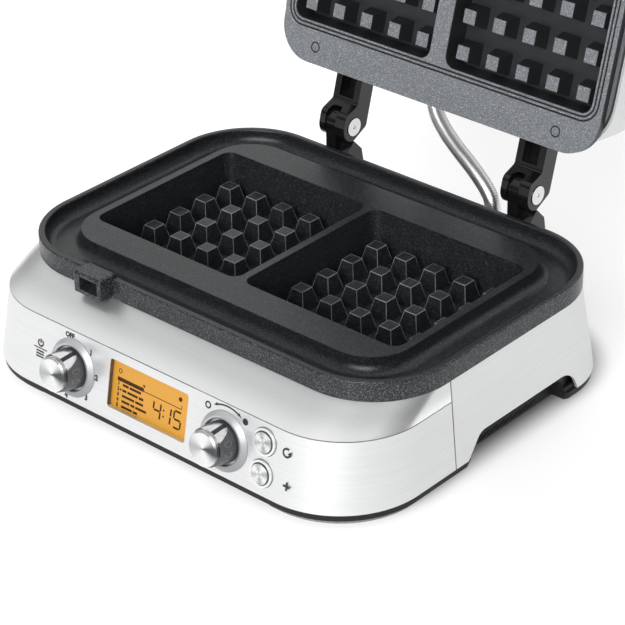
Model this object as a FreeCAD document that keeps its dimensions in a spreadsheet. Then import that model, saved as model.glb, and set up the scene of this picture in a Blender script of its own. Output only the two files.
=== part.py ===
# Countertop waffle maker: two square stud pockets, a hinged lid, a steel body and a leaning console.
# Millimetres and degrees. +Z is up, the console faces -Y, and the origin lies on the table
# under the middle of the plates. The lid is modelled closed about its hinge axis and stands open.

import FreeCAD, Part
import math
import os
import re
import Sketcher

Vector = FreeCAD.Vector
doc = FreeCAD.newDocument("waffle_maker")
dims = doc.addObject("Spreadsheet::Sheet", "dims")

# Driving sizes: name, value, meaning
SIZES = [
    ("plate_corner", 50.0, "corner radius of the rim"),
    ("rim_base", 62.7, "underside of the rim above the table"),
    ("rim_height", 12.1, "height of the rim wall"),
    ("rim_wall", 4.2, "thickness of the rim wall"),
    ("rim_round", 1.1, "rounding along the top of the rim"),
    ("moat_depth", 9.3, "overflow moat below the rim"),
    ("moat_round", 6.0, "rounding at the bottom of the moat"),
    ("land_side", 4.9, "land beside the pockets"),
    ("land_front", 21.65, "land in front of and behind the pockets"),
    ("moat_side", 21.5, "width of the moat at the sides"),
    ("moat_front", 19.5, "width of the moat in front and behind"),
    ("land_corner", 27.0, "corner radius of the land"),
    ("land_rise", 0.4, "land above the rim"),
    ("pocket_edge_side", 13.15, "outer stud to the pocket wall, side to side"),
    ("pocket_edge_front", 13.95, "outer stud to the pocket wall, front to back"),
    ("pocket_corner", 7.0, "corner radius of a pocket"),
    ("pocket_taper", 8.0, "draft of the pocket walls"),
    ("divider", 4.8, "land between the two pockets"),
    ("stud_pitch", 22.0, "spacing of the studs both ways"),
    ("stud_top", 8.4, "width of a stud at its top"),
    ("stud_taper", 13.0, "draft of the stud sides"),
    ("stud_height", 12.0, "lower stud above its pocket floor"),
    ("stud_sink", 14.7, "lower stud top below the land"),
    ("upper_edge_side", 9.7, "outer stud to the upper pocket wall, side to side"),
    ("upper_edge_front", 10.2, "outer stud to the upper pocket wall, front to back"),
    ("upper_sink", 3.4, "upper stud top behind the plate face"),
    ("upper_stud", 10.4, "upper stud above its pocket floor"),
    ("plate_wall", 3.2, "casting wall under the pockets"),
    ("keeper_place", 65.8, "latch keeper left of the middle"),
    ("keeper_width", 19.0, "latch keeper, side to side"),
    ("keeper_height", 13.0, "latch keeper, top to bottom"),
    ("keeper_reach", 9.5, "latch keeper in front of the rim"),
    ("keeper_lift", 2.4, "latch keeper above the rim top"),
    ("keeper_wall", 2.4, "wall round the keeper window"),
    ("keeper_cheek", 2.9, "left cheek of the keeper thicker than the right"),
    ("keeper_round", 1.8, "rounding of the keeper"),
    ("deck_inset", 0.4, "steel body inside the rim edge"),
    ("deck_ledge", 9.0, "inward ledge that carries the plate"),
    ("deck_thick", 2.5, "thickness of that ledge"),
    ("shell_wall", 1.8, "wall of the steel wraps"),
    ("side_draft", 5.08, "lean of the sides and back"),
    ("panel_lean", 10.96, "lean of the console"),
    ("deck_drop", 12.65, "console seam under the rim"),
    ("deck_slope", 25.0, "console seam in front of the rim"),
    ("rear_square", 9.0, "rear corners squarer at the table than at the rim"),
    ("skirt_height", 7.6, "lower edge of the steel above the table"),
    ("split_margin", 2.1, "side seam in front of the arch"),
    ("split_gap", 0.9, "width of the side seam"),
    ("deck_gap", 0.6, "width of the console seam"),
    ("tray_base", 3.6, "underside of the tray above the table"),
    ("tray_floor", 2.4, "thickness of the tray floor"),
    ("tray_inset", 0.8, "tray lip inside the steel edge"),
    ("tray_rise", 7.0, "height of the tray wall over its underside"),
    ("tray_wall", 2.2, "thickness of the tray wall"),
    ("fit_gap", 0.4, "slip clearance between housing pieces"),
    ("arch_front", 46.8, "front foot of the side arch in front of the middle"),
    ("arch_crown_front", 26.4, "front crown corner of the arch in front of the middle"),
    ("arch_crown_rear", 57.0, "rear crown corner of the arch behind the middle"),
    ("arch_rear", 65.5, "rear foot of the arch behind the middle"),
    ("arch_height", 20.9, "crown of the arch above the table"),
    ("arch_round_front", 9.0, "rounding of the front crown"),
    ("arch_round_rear", 14.0, "rounding of the rear crown"),
    ("arch_lip", 2.8, "liner edge showing inside the steel arch"),
    ("arch_deep", 11.0, "finger room behind the arch"),
    ("rear_leg", 15.0, "black rear leg in front of the steel arch end"),
    ("rear_leg_lean", 4.0, "lean of the rear leg front"),
    ("rear_leg_round", 5.0, "rounding of the rear leg corner"),
    ("rib_count", 9, "slanting ribs along the foot of the finger room"),
    ("rib_pitch", 7.0, "spacing of the slanting ribs"),
    ("rib_width", 1.0, "width of a groove between ribs"),
    ("rib_length", 8.0, "length of a groove between ribs"),
    ("rib_rise", 2.6, "rise of a groove along its length"),
    ("rib_depth", 1.0, "depth of a groove between ribs"),
    ("liner_wall", 2.2, "wall of the arch liner"),
    ("foot_width", 7.0, "width of a corner foot"),
    ("foot_inset", 3.2, "corner foot inside the tray edge"),
    ("foot_arm", 62.0, "straight reach of a corner foot along each side"),
    ("centre_foot", 26.0, "round pad under the middle of the tray"),
    ("vent_length", 46.0, "length of a tray vent"),
    ("vent_width", 3.2, "width of a tray vent"),
    ("vent_pitch", 8.0, "spacing of the tray vents"),
    ("vent_count", 7, "number of tray vents in a bank"),
    ("bridge_width", 192.0, "hinge housing, side to side"),
    ("bridge_reach", 24.0, "hinge housing behind the back wall"),
    ("bridge_base", 14.0, "underside of the hinge housing above the table"),
    ("bridge_top", 49.5, "top of the hinge housing above the table"),
    ("bridge_corner", 9.0, "corner radius of the hinge housing"),
    ("bridge_wall", 3.0, "wall of the hinge housing"),
    ("hinge_rise", 12.9, "hinge axis above the land"),
    ("hinge_back", 9.4, "hinge axis behind the rim"),
    ("hinge_spread", 71.3, "each hinge from the middle"),
    ("hinge_width", 20.4, "hinge arm, side to side"),
    ("ear_left", 4.4, "left ear of the hinge arm"),
    ("ear_right", 7.6, "right ear of the hinge arm"),
    ("ear_gap", 0.4, "side clearance between ears and knuckle"),
    ("ear_radius", 9.4, "radius of the hinge ears"),
    ("knuckle_radius", 8.6, "radius of the fixed knuckle"),
    ("arm_thick", 12.0, "thickness of the hinge arm"),
    ("arm_rail", 4.6, "side rail of the hinge arm channel"),
    ("arm_back", 3.0, "back plate of the hinge arm channel"),
    ("arm_tab", 14.3, "hinge arm inside the back of the lid cover"),
    ("arm_web", 16.5, "channel start from the hinge axis"),
    ("arm_slope", 13.6, "end of the sloping throat from the hinge axis"),
    ("slot_round", 2.0, "rounding at the end of the knuckle slot"),
    ("knuckle_room", 10.8, "reach of the knuckle slot from the hinge axis"),
    ("pin_diameter", 6.0, "hinge pin"),
    ("pin_play", 0.1, "hinge pin bore over the pin"),
    ("pin_head", 11.6, "hinge pin head"),
    ("pin_head_thick", 2.2, "thickness of the hinge pin head"),
    ("pin_sink", 1.8, "counterbore for the head in the right ear"),
    ("pin_dimple", 2.4, "recess in the hinge pin head"),
    ("lid_open", 106.0, "lid opened from closed"),
    ("stop_gap", 0.35, "clearance at the lid stop"),
    ("plate_gap", 0.7, "plate faces apart when closed"),
    ("upper_side", 4.1, "upper plate beside its pockets"),
    ("upper_front", 22.05, "upper plate in front of and behind its pockets"),
    ("upper_corner", 23.0, "corner radius of the upper plate"),
    ("upper_flange", 4.8, "edge thickness of the upper plate"),
    ("groove_start", 1.2, "first seal groove outside the pockets"),
    ("groove_width", 1.2, "width of a seal groove"),
    ("groove_step", 2.5, "spacing of the seal grooves"),
    ("groove_depth", 1.0, "depth of a seal groove"),
    ("boss_place", 92.4, "fixing boss from the middle"),
    ("boss_inset", 10.6, "fixing boss inside the upper plate edge"),
    ("boss_ring", 7.0, "groove round a fixing boss"),
    ("boss_face", 5.2, "face of a fixing boss"),
    ("cover_side", 5.2, "lid cover beside the upper plate"),
    ("cover_nose", 4.0, "lid cover in front of the upper plate"),
    ("cover_tail", 2.0, "lid cover inside the back edge of the upper plate"),
    ("cover_corner", 32.0, "corner radius of the lid cover"),
    ("cover_base", 7.0, "lower edge of the cover under the hinge axis"),
    ("cover_height", 44.0, "height of the lid cover"),
    ("cover_taper", 7.0, "lean of the cover sides"),
    ("cover_round", 13.0, "rounding along the top of the cover"),
    ("cover_wall", 1.6, "wall of the lid cover"),
    ("frame_rail", 3.0, "side rail of the lid frame"),
    ("tube_diameter", 6.6, "heating element"),
    ("tube_bend", 14.0, "bend radius of a heating element"),
    ("loop_side", 21.7, "heating element inside the pockets, side to side"),
    ("loop_front", 15.95, "heating element inside the pockets, front to back"),
    ("tail_spread", 14.0, "distance between element tails"),
    ("fuse_strap", 28.0, "strap that holds the thermal fuse"),
    ("tail_length", 26.0, "element tails behind the loop"),
    ("seat_gap", 0.1, "clearance of a round piece on its seat"),
    ("shield_side", 11.3, "lower heat shield beside the pockets"),
    ("shield_front", 23.05, "lower heat shield in front of and behind the pockets"),
    ("shield_room", 12.6, "lower heat shield under the casting"),
    ("shield_wall", 1.2, "sheet of the heat shields"),
    ("shield_flange", 8.0, "flange of the lower heat shield"),
    ("shield_corner", 34.0, "corner radius of the heat shields"),
    ("window_width", 61.0, "display opening, side to side"),
    ("window_height", 29.6, "display opening, up the console"),
    ("window_drop", 20.6, "middle of the display below the seam"),
    ("window_corner", 2.0, "corner radius of the display opening"),
    ("window_recess", 3.0, "display window behind the console face"),
    ("lens_thick", 1.4, "display window"),
    ("lens_edge", 1.8, "display window over its opening"),
    ("board_setback", 16.0, "control board behind the console face"),
    ("board_thick", 1.6, "circuit boards"),
    ("board_edge", 12.1, "control board beyond the buttons"),
    ("board_height", 33.0, "control board, up the console"),
    ("console_shift", -1.95, "knobs and display right of the middle"),
    ("knob_place", 59.15, "each knob from the middle of the display"),
    ("knob_drop", 22.4, "knob axes below the seam"),
    ("bezel_band", 4.1, "width of the console ring round a knob"),
    ("bezel_gap", 1.3, "that ring clear of the knob"),
    ("bezel_height", 3.0, "height of that ring"),
    ("knob_base", 24.2, "knob at its foot"),
    ("knob_neck", 22.4, "knob at its neck"),
    ("knob_height", 14.2, "knob body in front of the console"),
    ("knob_lift", 0.7, "knob clear of the console"),
    ("knob_wall", 2.4, "wall of the hollow knob"),
    ("cap_diameter", 20.8, "spun metal knob cap"),
    ("cap_thick", 3.2, "thickness of that cap"),
    ("cap_dish", 0.5, "dish of that cap"),
    ("cap_edge", 1.4, "bevel round its face"),
    ("pointer_near", 8.9, "pointer face from the knob axis under the cap"),
    ("pointer_lean", 19.5, "slope of the pointer face out to the foot"),
    ("pointer_thick", 0.7, "pointer plate"),
    ("menu_rest", 20.0, "menu knob pointer right of straight up"),
    ("browning_rest", 15.0, "browning knob pointer right of straight up"),
    ("shaft_diameter", 6.0, "knob shafts"),
    ("bush_diameter", 9.0, "threaded bush of a rotary switch"),
    ("switch_width", 22.0, "rotary switch body"),
    ("switch_thick", 8.5, "thickness of a rotary switch body"),
    ("button_side", 11.3, "buttons right of the browning ring"),
    ("button_drop_upper", 11.6, "upper button below the seam"),
    ("button_drop_lower", 30.4, "lower button below the seam"),
    ("button_diameter", 12.6, "button cap"),
    ("button_play", 0.35, "clearance round a button"),
    ("button_rise", 2.4, "button face in front of the console"),
    ("button_travel", 1.5, "button stroke"),
    ("ring_band", 1.25, "width of the ring round a button"),
    ("ring_height", 1.4, "height of that ring"),
    ("tact_width", 6.2, "push switch"),
    ("tact_thick", 3.6, "push switch body"),
    ("handle_spread", 54.0, "each handle arm from the middle"),
    ("handle_arm", 11.4, "handle arm, side to side"),
    ("latch_behind", 1.8, "latch pivot behind the keeper face"),
    ("handle_rise", 12.0, "handle arm, top to bottom"),
    ("grip_length", 196.0, "handle grip, side to side"),
    ("grip_deep", 24.0, "handle grip, front to back"),
    ("grip_tall", 18.0, "handle grip, top to bottom"),
    ("latch_open", 18.0, "latch lever swung clear"),
    ("latch_width", 10.6, "latch lever, side to side"),
    ("latch_pin", 4.0, "latch pivot pin"),
    ("latch_boss", 11.0, "boss of the latch lever"),
    ("latch_thick", 4.2, "thickness of the latch lever"),
    ("latch_setback", 8.0, "latch pivot behind the grip"),
    ("conduit_diameter", 9.8, "flexible conduit"),
    ("conduit_bore", 7.0, "bore of the conduit"),
    ("conduit_base_x", 45.3, "lower end of the conduit right of the middle"),
    ("conduit_back", 6.3, "lower end of the conduit behind the hinge axis"),
    ("conduit_rise", 23.7, "lower bend of the conduit above the hinge housing"),
    ("conduit_lid_x", 21.3, "upper end of the conduit left of the middle"),
    ("conduit_lid_z", 18.5, "upper end of the conduit above the closed hinge axis"),
    ("gland_margin", 1.2, "conduit gland clear of the upper casting"),
    ("conduit_out", 14.4, "straight conduit behind the lid"),
    ("conduit_bend_lid", 39.0, "bend radius at the lid"),
    ("conduit_bend_base", 26.0, "bend radius at the hinge housing"),
    ("conduit_easing", 0.96, "share of a bend radius that the tube takes"),
    ("gland_flange", 17.0, "flange of a conduit gland"),
    ("gland_thick", 2.2, "thickness of a conduit gland flange"),
    ("cord_hole", 8.0, "hole of the cord gland"),
    ("cord_side", 58.0, "cord gland left of the middle"),
    ("screw_head", 7.0, "screw heads"),
    ("screw_head_thick", 2.2, "thickness of a screw head"),
    ("screw_shank", 3.6, "screw shanks"),
    ("screw_play", 0.4, "screw holes over their shanks"),
]

# Places worked out from the driving sizes
DERIVED = {
    "pocket_width": "4 * stud_pitch + 2 * pocket_edge_side",
    "pocket_length": "4 * stud_pitch + 2 * pocket_edge_front",
    "land_width": "pockets_width + 2 * land_side",
    "land_depth": "pocket_length + 2 * land_front",
    "plate_width": "land_width + 2 * (moat_side + rim_wall)",
    "plate_depth": "land_depth + 2 * (moat_front + rim_wall)",
    "seam_height": "rim_base - deck_drop",
    "seam_reach": "plate_depth / 2 + deck_slope",
    "split_place": "arch_front + split_margin",
    "hinge_height": "land_top + hinge_rise",
    "hinge_reach": "plate_depth / 2 + hinge_back",
    "upper_width": "pockets_width + 2 * upper_side",
    "upper_depth": "pocket_length + 2 * upper_front",
    "cover_width": "upper_width + 2 * cover_side",
    "upper_pocket_width": "4 * stud_pitch + 2 * upper_edge_side",
    "upper_pocket_length": "4 * stud_pitch + 2 * upper_edge_front",
    "upper_pair": "2 * pocket_place + upper_pocket_width",
    "cover_depth": "upper_depth + cover_nose - cover_tail",
    "cover_middle": "-hinge_reach - (cover_nose + cover_tail) / 2",
    "loop_width": "pockets_width - 2 * loop_side",
    "loop_depth": "pocket_length - 2 * loop_front",
    "shield_width": "pockets_width + 2 * shield_side",
    "shield_depth": "pocket_length + 2 * shield_front",
    "shield_drop": "rim_base - shield_base",
    "bezel_bore": "knob_base + 2 * bezel_gap",
    "bezel_diameter": "bezel_bore + 2 * bezel_band",
    "button_hole": "button_diameter + 2 * button_play",
    "ring_diameter": "button_hole + 2 * ring_band",
    "button_place": "console_shift + knob_place + bezel_diameter / 2 + button_side",
    "board_width": "2 * (button_place + ring_diameter / 2 + board_edge)",
    "conduit_base_y": "hinge_reach + conduit_back",
    "conduit_in": "hinge_reach - pocket_length / 2 - plate_wall - gland_margin - cover_back",
    "rim_top": "rim_base + rim_height",
    "land_top": "rim_top + land_rise",
    "pocket_floor": "land_top - stud_sink - stud_height",
    "pocket_place": "(pocket_width + divider) / 2",
    "pockets_width": "2 * pocket_width + divider",
    "belly_base": "pocket_floor - plate_wall",
    "half_top": "plate_width / 2 - deck_inset",
    "back_top": "plate_depth / 2 - deck_inset",
    "tray_top": "tray_base + tray_floor",
    "tray_edge": "tray_base + tray_rise",
    "half_skirt": "half_top + (rim_base - skirt_height) * tan(side_draft)",
    "liner_top": "arch_height - arch_lip + liner_wall",
    "half_liner": "half_top + (rim_base - liner_top) * tan(side_draft) - shell_wall - fit_gap",
    "bridge_back": "back_top + bridge_reach",
    "knuckle_left": "hinge_width / 2 - ear_left - ear_gap",
    "knuckle_right": "hinge_width / 2 - ear_right - ear_gap",
    "face_drop": "hinge_height - land_top - plate_gap",
    "frame_base": "face_drop - upper_flange",
    "upper_pocket": "upper_sink + upper_stud",
    "upper_belly": "upper_pocket + plate_wall - face_drop",
    "cover_back": "hinge_reach - upper_depth / 2 + cover_tail",
    "arm_length": "cover_back + arm_tab",
    "cover_front": "hinge_reach + upper_depth / 2 + cover_nose",
    "grip_back": "latch_y + latch_setback",
    "grip_base": "cover_base / 2",
    "latch_y": "hinge_reach + plate_depth / 2 + keeper_reach - latch_behind",
    "latch_z": "grip_base + handle_rise / 2",
    "switch_face": "board_setback - switch_thick",
    "shield_base": "belly_base - shield_room",
    "pin_bore": "pin_diameter + pin_play",
}
NAMES = {name for name, number, meaning in SIZES}
WORD = re.compile(r"[a-z]+(?:_[a-z]+)+|[a-z]{3,}")

for row, (name, number, meaning) in enumerate(SIZES, start=1):
    dims.set("A%d" % row, name)
    dims.set("B%d" % row, str(number))
    dims.setAlias("B%d" % row, name)
    dims.set("C%d" % row, meaning)
doc.recompute()

pieces = []
cuts = []


# Expressions and bindings

def spell(text):
    """Turn size names into references to the sheet."""
    def swap(match):
        word = match.group(0)
        if word in DERIVED:
            return "(" + spell(DERIVED[word]) + ")"
        return "dims." + word if word in NAMES else word
    return WORD.sub(swap, text)


def value(text):
    return float(dims.evalExpression(spell(text)))


def bind(thing, prop, text):
    thing.setExpression(prop, spell(text))


def set_frame(thing, prop, base, axis=(1, 0, 0), turn="0"):
    """Place a body or sketch by three expressions and one turn about an axis."""
    place = Vector(*[value(text) for text in base])
    setattr(thing, prop, FreeCAD.Placement(place, FreeCAD.Rotation(Vector(*axis), value(turn))))
    for letter, text in zip("xyz", base):
        bind(thing, prop + ".Base." + letter, text)
    if turn != "0":
        bind(thing, prop + ".Rotation.Angle", turn)


# Bodies, sketches and features

def new_body(label):
    body = doc.addObject("PartDesign::Body", label)
    body.Label = label
    pieces.append(body)
    return body


def lid_body(label, side="0"):
    """A body in the lid's own frame: closed, with the hinge axis as its X axis."""
    body = new_body(label)
    set_frame(body, "Placement", (side, "hinge_reach", "hinge_height"), (-1, 0, 0), "lid_open")
    return body


def panel_body(label, side, drop):
    """A body on the console: X to the right, Y up the console, Z straight out of it."""
    body = new_body(label)
    base = (side, "-seam_reach - (%s) * sin(panel_lean)" % drop, "seam_height - (%s) * cos(panel_lean)" % drop)
    set_frame(body, "Placement", base, (1, 0, 0), "90 - panel_lean")
    return body


def plane_of(body, role):
    return [item for item in body.Origin.OriginFeatures if item.Role == role][0]


def sketch_on(body, role="XY_Plane", lift="0"):
    sketch = body.newObject("Sketcher::SketchObject", body.Label + "_sketch")
    sketch.AttachmentSupport = [(plane_of(body, role), "")]
    sketch.MapMode = "FlatFace"
    set_frame(sketch, "AttachmentOffset", ("0", "0", lift))
    return sketch


def console_sketch(body, lift="0"):
    """A sketch on the console face of a body that stands in the main frame."""
    sketch = body.newObject("Sketcher::SketchObject", body.Label + "_sketch")
    sketch.AttachmentSupport = [(plane_of(body, "XZ_Plane"), "")]
    sketch.MapMode = "FlatFace"
    base = ("0", "seam_height + (%s) * sin(panel_lean)" % lift, "seam_reach + (%s) * cos(panel_lean)" % lift)
    set_frame(sketch, "AttachmentOffset", base, (-1, 0, 0), "panel_lean")
    return sketch


def pin_point(sketch, element, corner, x, y):
    """Hold a sketch point at two expressions."""
    for kind, text in (("DistanceX", x), ("DistanceY", y)):
        index = sketch.addConstraint(Sketcher.Constraint(kind, element, corner, value(text)))
        bind(sketch, "Constraints[%d]" % index, text)


def outline(sketch, corners, closed=True):
    """Lines through corners (x, y) or (x, y, radius), with tangent arcs where a radius is given."""
    first = sketch.GeometryCount
    count = len(corners)
    points = [Vector(value(corner[0]), value(corner[1])) for corner in corners]
    lines = count if closed else count - 1
    for number in range(lines):
        sketch.addGeometry(Part.LineSegment(points[number], points[(number + 1) % count]))
    for number in range(lines if closed else lines - 1):
        after = first + (number + 1) % count
        sketch.addConstraint(Sketcher.Constraint("Coincident", first + number, 2, after, 1))
    for number, corner in enumerate(corners):
        if number < lines:
            pin_point(sketch, first + number, 1, corner[0], corner[1])
        else:
            pin_point(sketch, first + number - 1, 2, corner[0], corner[1])
    for number, corner in enumerate(corners):
        if len(corner) > 2:
            before = (points[number - 1] + points[number]) * 0.5
            beyond = (points[(number + 1) % count] + points[number]) * 0.5
            radius = value(corner[2])
            sketch.fillet(first + (number - 1) % count, first + number, before, beyond, radius, True, True)
            arc = sketch.GeometryCount - 2
            index = sketch.addConstraint(Sketcher.Constraint("Radius", arc, radius))
            bind(sketch, "Constraints[%d]" % index, corner[2])


def box(left, right, low, high, radius=None):
    """Corners of an upright rectangle."""
    corners = [(left, low), (right, low), (right, high), (left, high)]
    return [corner + (radius,) for corner in corners] if radius else corners


def centred(width, depth, radius=None, x="0", y="0"):
    half_x = "(%s) / 2" % width
    half_y = "(%s) / 2" % depth
    return box("%s - %s" % (x, half_x), "%s + %s" % (x, half_x), "%s - %s" % (y, half_y),
               "%s + %s" % (y, half_y), radius)


def circle(sketch, diameter, x="0", y="0"):
    radius = "(%s) / 2" % diameter
    place = Vector(value(x), value(y))
    ring = sketch.addGeometry(Part.Circle(place, Vector(0, 0, 1), value(radius)))
    pin_point(sketch, ring, 3, x, y)
    index = sketch.addConstraint(Sketcher.Constraint("Radius", ring, value(radius)))
    bind(sketch, "Constraints[%d]" % index, radius)


def pad(body, sketch, length, back=False, taper=None):
    feature = body.newObject("PartDesign::Pad", body.Label + "_pad")
    feature.Profile = sketch
    feature.Reversed = back
    bind(feature, "Length", length)
    if taper:
        bind(feature, "TaperAngle", taper)
    return feature


def cut(body, sketch, depth, back=False, taper=None):
    feature = body.newObject("PartDesign::Pocket", body.Label + "_cut")
    feature.Profile = sketch
    feature.Reversed = back
    bind(feature, "Length", depth)
    if taper:
        bind(feature, "TaperAngle", taper)
    cuts.append(feature)
    return feature


def loft(body, lower, upper, remove=False):
    kind = "PartDesign::SubtractiveLoft" if remove else "PartDesign::AdditiveLoft"
    feature = body.newObject(kind, body.Label + "_loft")
    feature.Profile = lower
    feature.Sections = [upper]
    feature.Ruled = True
    if remove:
        cuts.append(feature)
    return feature


def turned(body, sketch):
    feature = body.newObject("PartDesign::Revolution", body.Label + "_turned")
    feature.Profile = sketch
    feature.ReferenceAxis = (sketch, ["V_Axis"])
    feature.Angle = 360
    return feature


def rows(body, features, axis, count, length):
    """Repeat features along a body axis."""
    pattern = body.newObject("PartDesign::LinearPattern", body.Label + "_rows")
    pattern.Originals = features
    pattern.Direction = (plane_of(body, axis), [""])
    bind(pattern, "Length", length)
    bind(pattern, "Occurrences", count)
    body.Tip = pattern
    return pattern


def mirrored(body, features, role="YZ_Plane"):
    mirror = body.newObject("PartDesign::Mirrored", body.Label + "_mirror")
    mirror.Originals = features
    mirror.MirrorPlane = (plane_of(body, role), [""])
    body.Tip = mirror
    return mirror


def rounded(body, radius, chosen):
    """Round the edges of the body so far that a test picks."""
    doc.recompute()
    base = body.Tip
    edges = ["Edge%d" % number for number, edge in enumerate(base.Shape.Edges, start=1) if chosen(edge)]
    feature = body.newObject("PartDesign::Fillet", body.Label + "_round")
    feature.Base = (base, edges)
    bind(feature, "Radius", radius)
    return feature


def at_height(text, reach=None):
    """Pick edges that lie flat at a height, and within a reach of the middle where one is given."""
    level = value(text)

    def test(edge):
        span = edge.BoundBox
        flat = abs(span.ZMin - level) < 1e-4 and abs(span.ZMax - level) < 1e-4
        return flat and (reach is None or span.XMax < reach + 1e-4)
    return test


# Outlines that several pieces share

def skirt_outline(height, inset):
    """Outline of the body at a height under the console seam, drawn in by an inset."""
    grow = "(rim_base - (%s)) * tan(side_draft) - (%s)" % (height, inset)
    half = "half_top + " + grow
    back = "back_top + " + grow
    front = "seam_reach + (seam_height - (%s)) * tan(panel_lean) - (%s)" % (height, inset)
    corner = "plate_corner - deck_inset + " + grow
    rear = "%s - %s" % (corner, squarer(height))
    return [("-(%s)" % half, "-(%s)" % front, corner), (half, "-(%s)" % front, corner),
            (half, back, rear), ("-(%s)" % half, back, rear)]


def squarer(height):
    """Cut in the radius of a rear corner at a height."""
    return "rear_square * (rim_base - (%s)) / (rim_base - skirt_height)" % height


def rear_outline(height, inset):
    """Outline of the rear wrap at a height; its front half is cut away at the side seam."""
    grow = "(rim_base - (%s)) * tan(side_draft) - (%s)" % (height, inset)
    half = "half_top + " + grow
    back = "back_top + " + grow
    corner = "plate_corner - deck_inset + %s - %s" % (grow, squarer(height))
    return box("-(%s)" % half, half, "-(%s)" % back, back, corner)


def arch_outline(lip):
    """Side arch seen along X, with its feet below the table; a lip draws it in."""
    deep = "-tray_floor"
    return [("-arch_front + (%s)" % lip, deep),
            ("-arch_crown_front + (%s) / 2" % lip, "arch_height - (%s)" % lip, "arch_round_front"),
            ("arch_crown_rear - (%s) / 2" % lip, "arch_height - (%s)" % lip, "arch_round_rear"),
            ("arch_rear - (%s)" % lip, deep)]


def keep_behind_split(body, front):
    """Cut a wrap at the side seam, keeping its front or its back."""
    span = "half_skirt + plate_corner"
    far = "seam_reach + plate_depth"
    near = "split_place %s split_gap / 2" % ("+" if front else "-")
    sketch = sketch_on(body, lift="rim_top")
    if front:
        outline(sketch, box("-(%s)" % span, span, "-(%s)" % near, far))
    else:
        outline(sketch, box("-(%s)" % span, span, "-(%s)" % far, "-(%s)" % near))
    cut(body, sketch, "rim_top + tray_base")


# Lower cooking plate

def stud_row(sketch, width, y):
    """Ten squares, five in each pocket."""
    for side in (-1, 1):
        for column in (-2, -1, 0, 1, 2):
            outline(sketch, centred(width, width, None, "%d * pocket_place + %d * stud_pitch" % (side, column), y))


def pocket_pair(sketch, width, length, y="0"):
    for side in ("-pocket_place", "pocket_place"):
        outline(sketch, centred(width, length, "pocket_corner", side, y))


def build_lower_plate():
    body = new_body("lower_cooking_plate")
    flange = sketch_on(body, lift="rim_base")
    outline(flange, centred("plate_width", "plate_depth", "plate_corner"))
    pad(body, flange, "rim_height")
    land = sketch_on(body, lift="rim_top")
    outline(land, centred("land_width", "land_depth", "land_corner"))
    pad(body, land, "land_rise")
    belly = sketch_on(body, lift="rim_base")
    outline(belly, centred("pockets_width + 2 * plate_wall", "pocket_length + 2 * plate_wall",
                           "pocket_corner + plate_wall"))
    pad(body, belly, "rim_base - belly_base", back=True, taper="-pocket_taper / 2")
    moat = sketch_on(body, lift="rim_top")
    outline(moat, centred("plate_width - 2 * rim_wall", "plate_depth - 2 * rim_wall", "plate_corner - rim_wall"))
    outline(moat, centred("land_width", "land_depth", "land_corner"))
    cut(body, moat, "moat_depth")
    rounded(body, "moat_round", at_height("rim_top - moat_depth"))
    pockets = sketch_on(body, lift="land_top")
    pocket_pair(pockets, "pocket_width", "pocket_length")
    cut(body, pockets, "land_top - pocket_floor", taper="-pocket_taper")
    studs = sketch_on(body, lift="pocket_floor")
    stud_row(studs, "stud_top + 2 * stud_height * tan(stud_taper)", "-2 * stud_pitch")
    row = pad(body, studs, "stud_height", taper="-stud_taper")
    rows(body, [row], "Y_Axis", "5", "4 * stud_pitch")
    rounded(body, "rim_round", at_height("rim_top"))
    front = "plate_depth / 2 + keeper_reach"
    keeper = sketch_on(body, "XZ_Plane", front)
    top = "rim_top + keeper_lift"
    base = "rim_top + keeper_lift - keeper_height"
    outline(keeper, box("-keeper_place - keeper_width / 2 - keeper_cheek", "-keeper_place + keeper_width / 2", base, top))
    pad(body, keeper, "keeper_reach + rim_wall", back=True)
    left = value("-keeper_place - keeper_width / 2 - keeper_cheek")
    right = value("-keeper_place + keeper_width / 2")
    crest = value(top)
    face = -value(front)
    rounded(body, "keeper_round", lambda edge: on_keeper(edge.BoundBox, left, right, crest, face))
    window = sketch_on(body, "XZ_Plane", front)
    outline(window, box("-keeper_place - keeper_width / 2 + keeper_wall",
                        "-keeper_place + keeper_width / 2 - keeper_wall",
                        base + " + keeper_wall", top + " - keeper_wall"))
    cut(body, window, "keeper_reach - deck_inset")
    screws = sketch_on(body, lift="rim_base")
    for x, y in SHIELD_SCREWS:
        circle(screws, "screw_shank + screw_play", x, y)
    cut(body, screws, "plate_wall / 2", back=True)


def on_keeper(span, left, right, crest, face):
    """Side edges of the keeper's top and the upright edges of its face."""
    side = span.XLength < 1e-4 and min(abs(span.XMin - left), abs(span.XMin - right)) < 1e-4
    top = abs(span.ZMin - crest) < 1e-4 and abs(span.ZMax - crest) < 1e-4
    upright = abs(span.YMin - face) < 1e-4 and abs(span.YMax - face) < 1e-4 and span.ZLength > 1
    across = top and span.XLength > 1 and left - 1e-4 < span.XMin and span.XMax < right + 1e-4
    return (side and (top or upright)) or across


SHIELD_SCREWS = [("%s * (shield_width / 2 + shield_flange / 2)" % side, "%s * pocket_length / 3" % end)
                 for side in ("-1", "1") for end in ("-1", "1")]


# Steel body and black tray

LEFT_KNOB = "console_shift - knob_place"
RIGHT_KNOB = "console_shift + knob_place"


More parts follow.
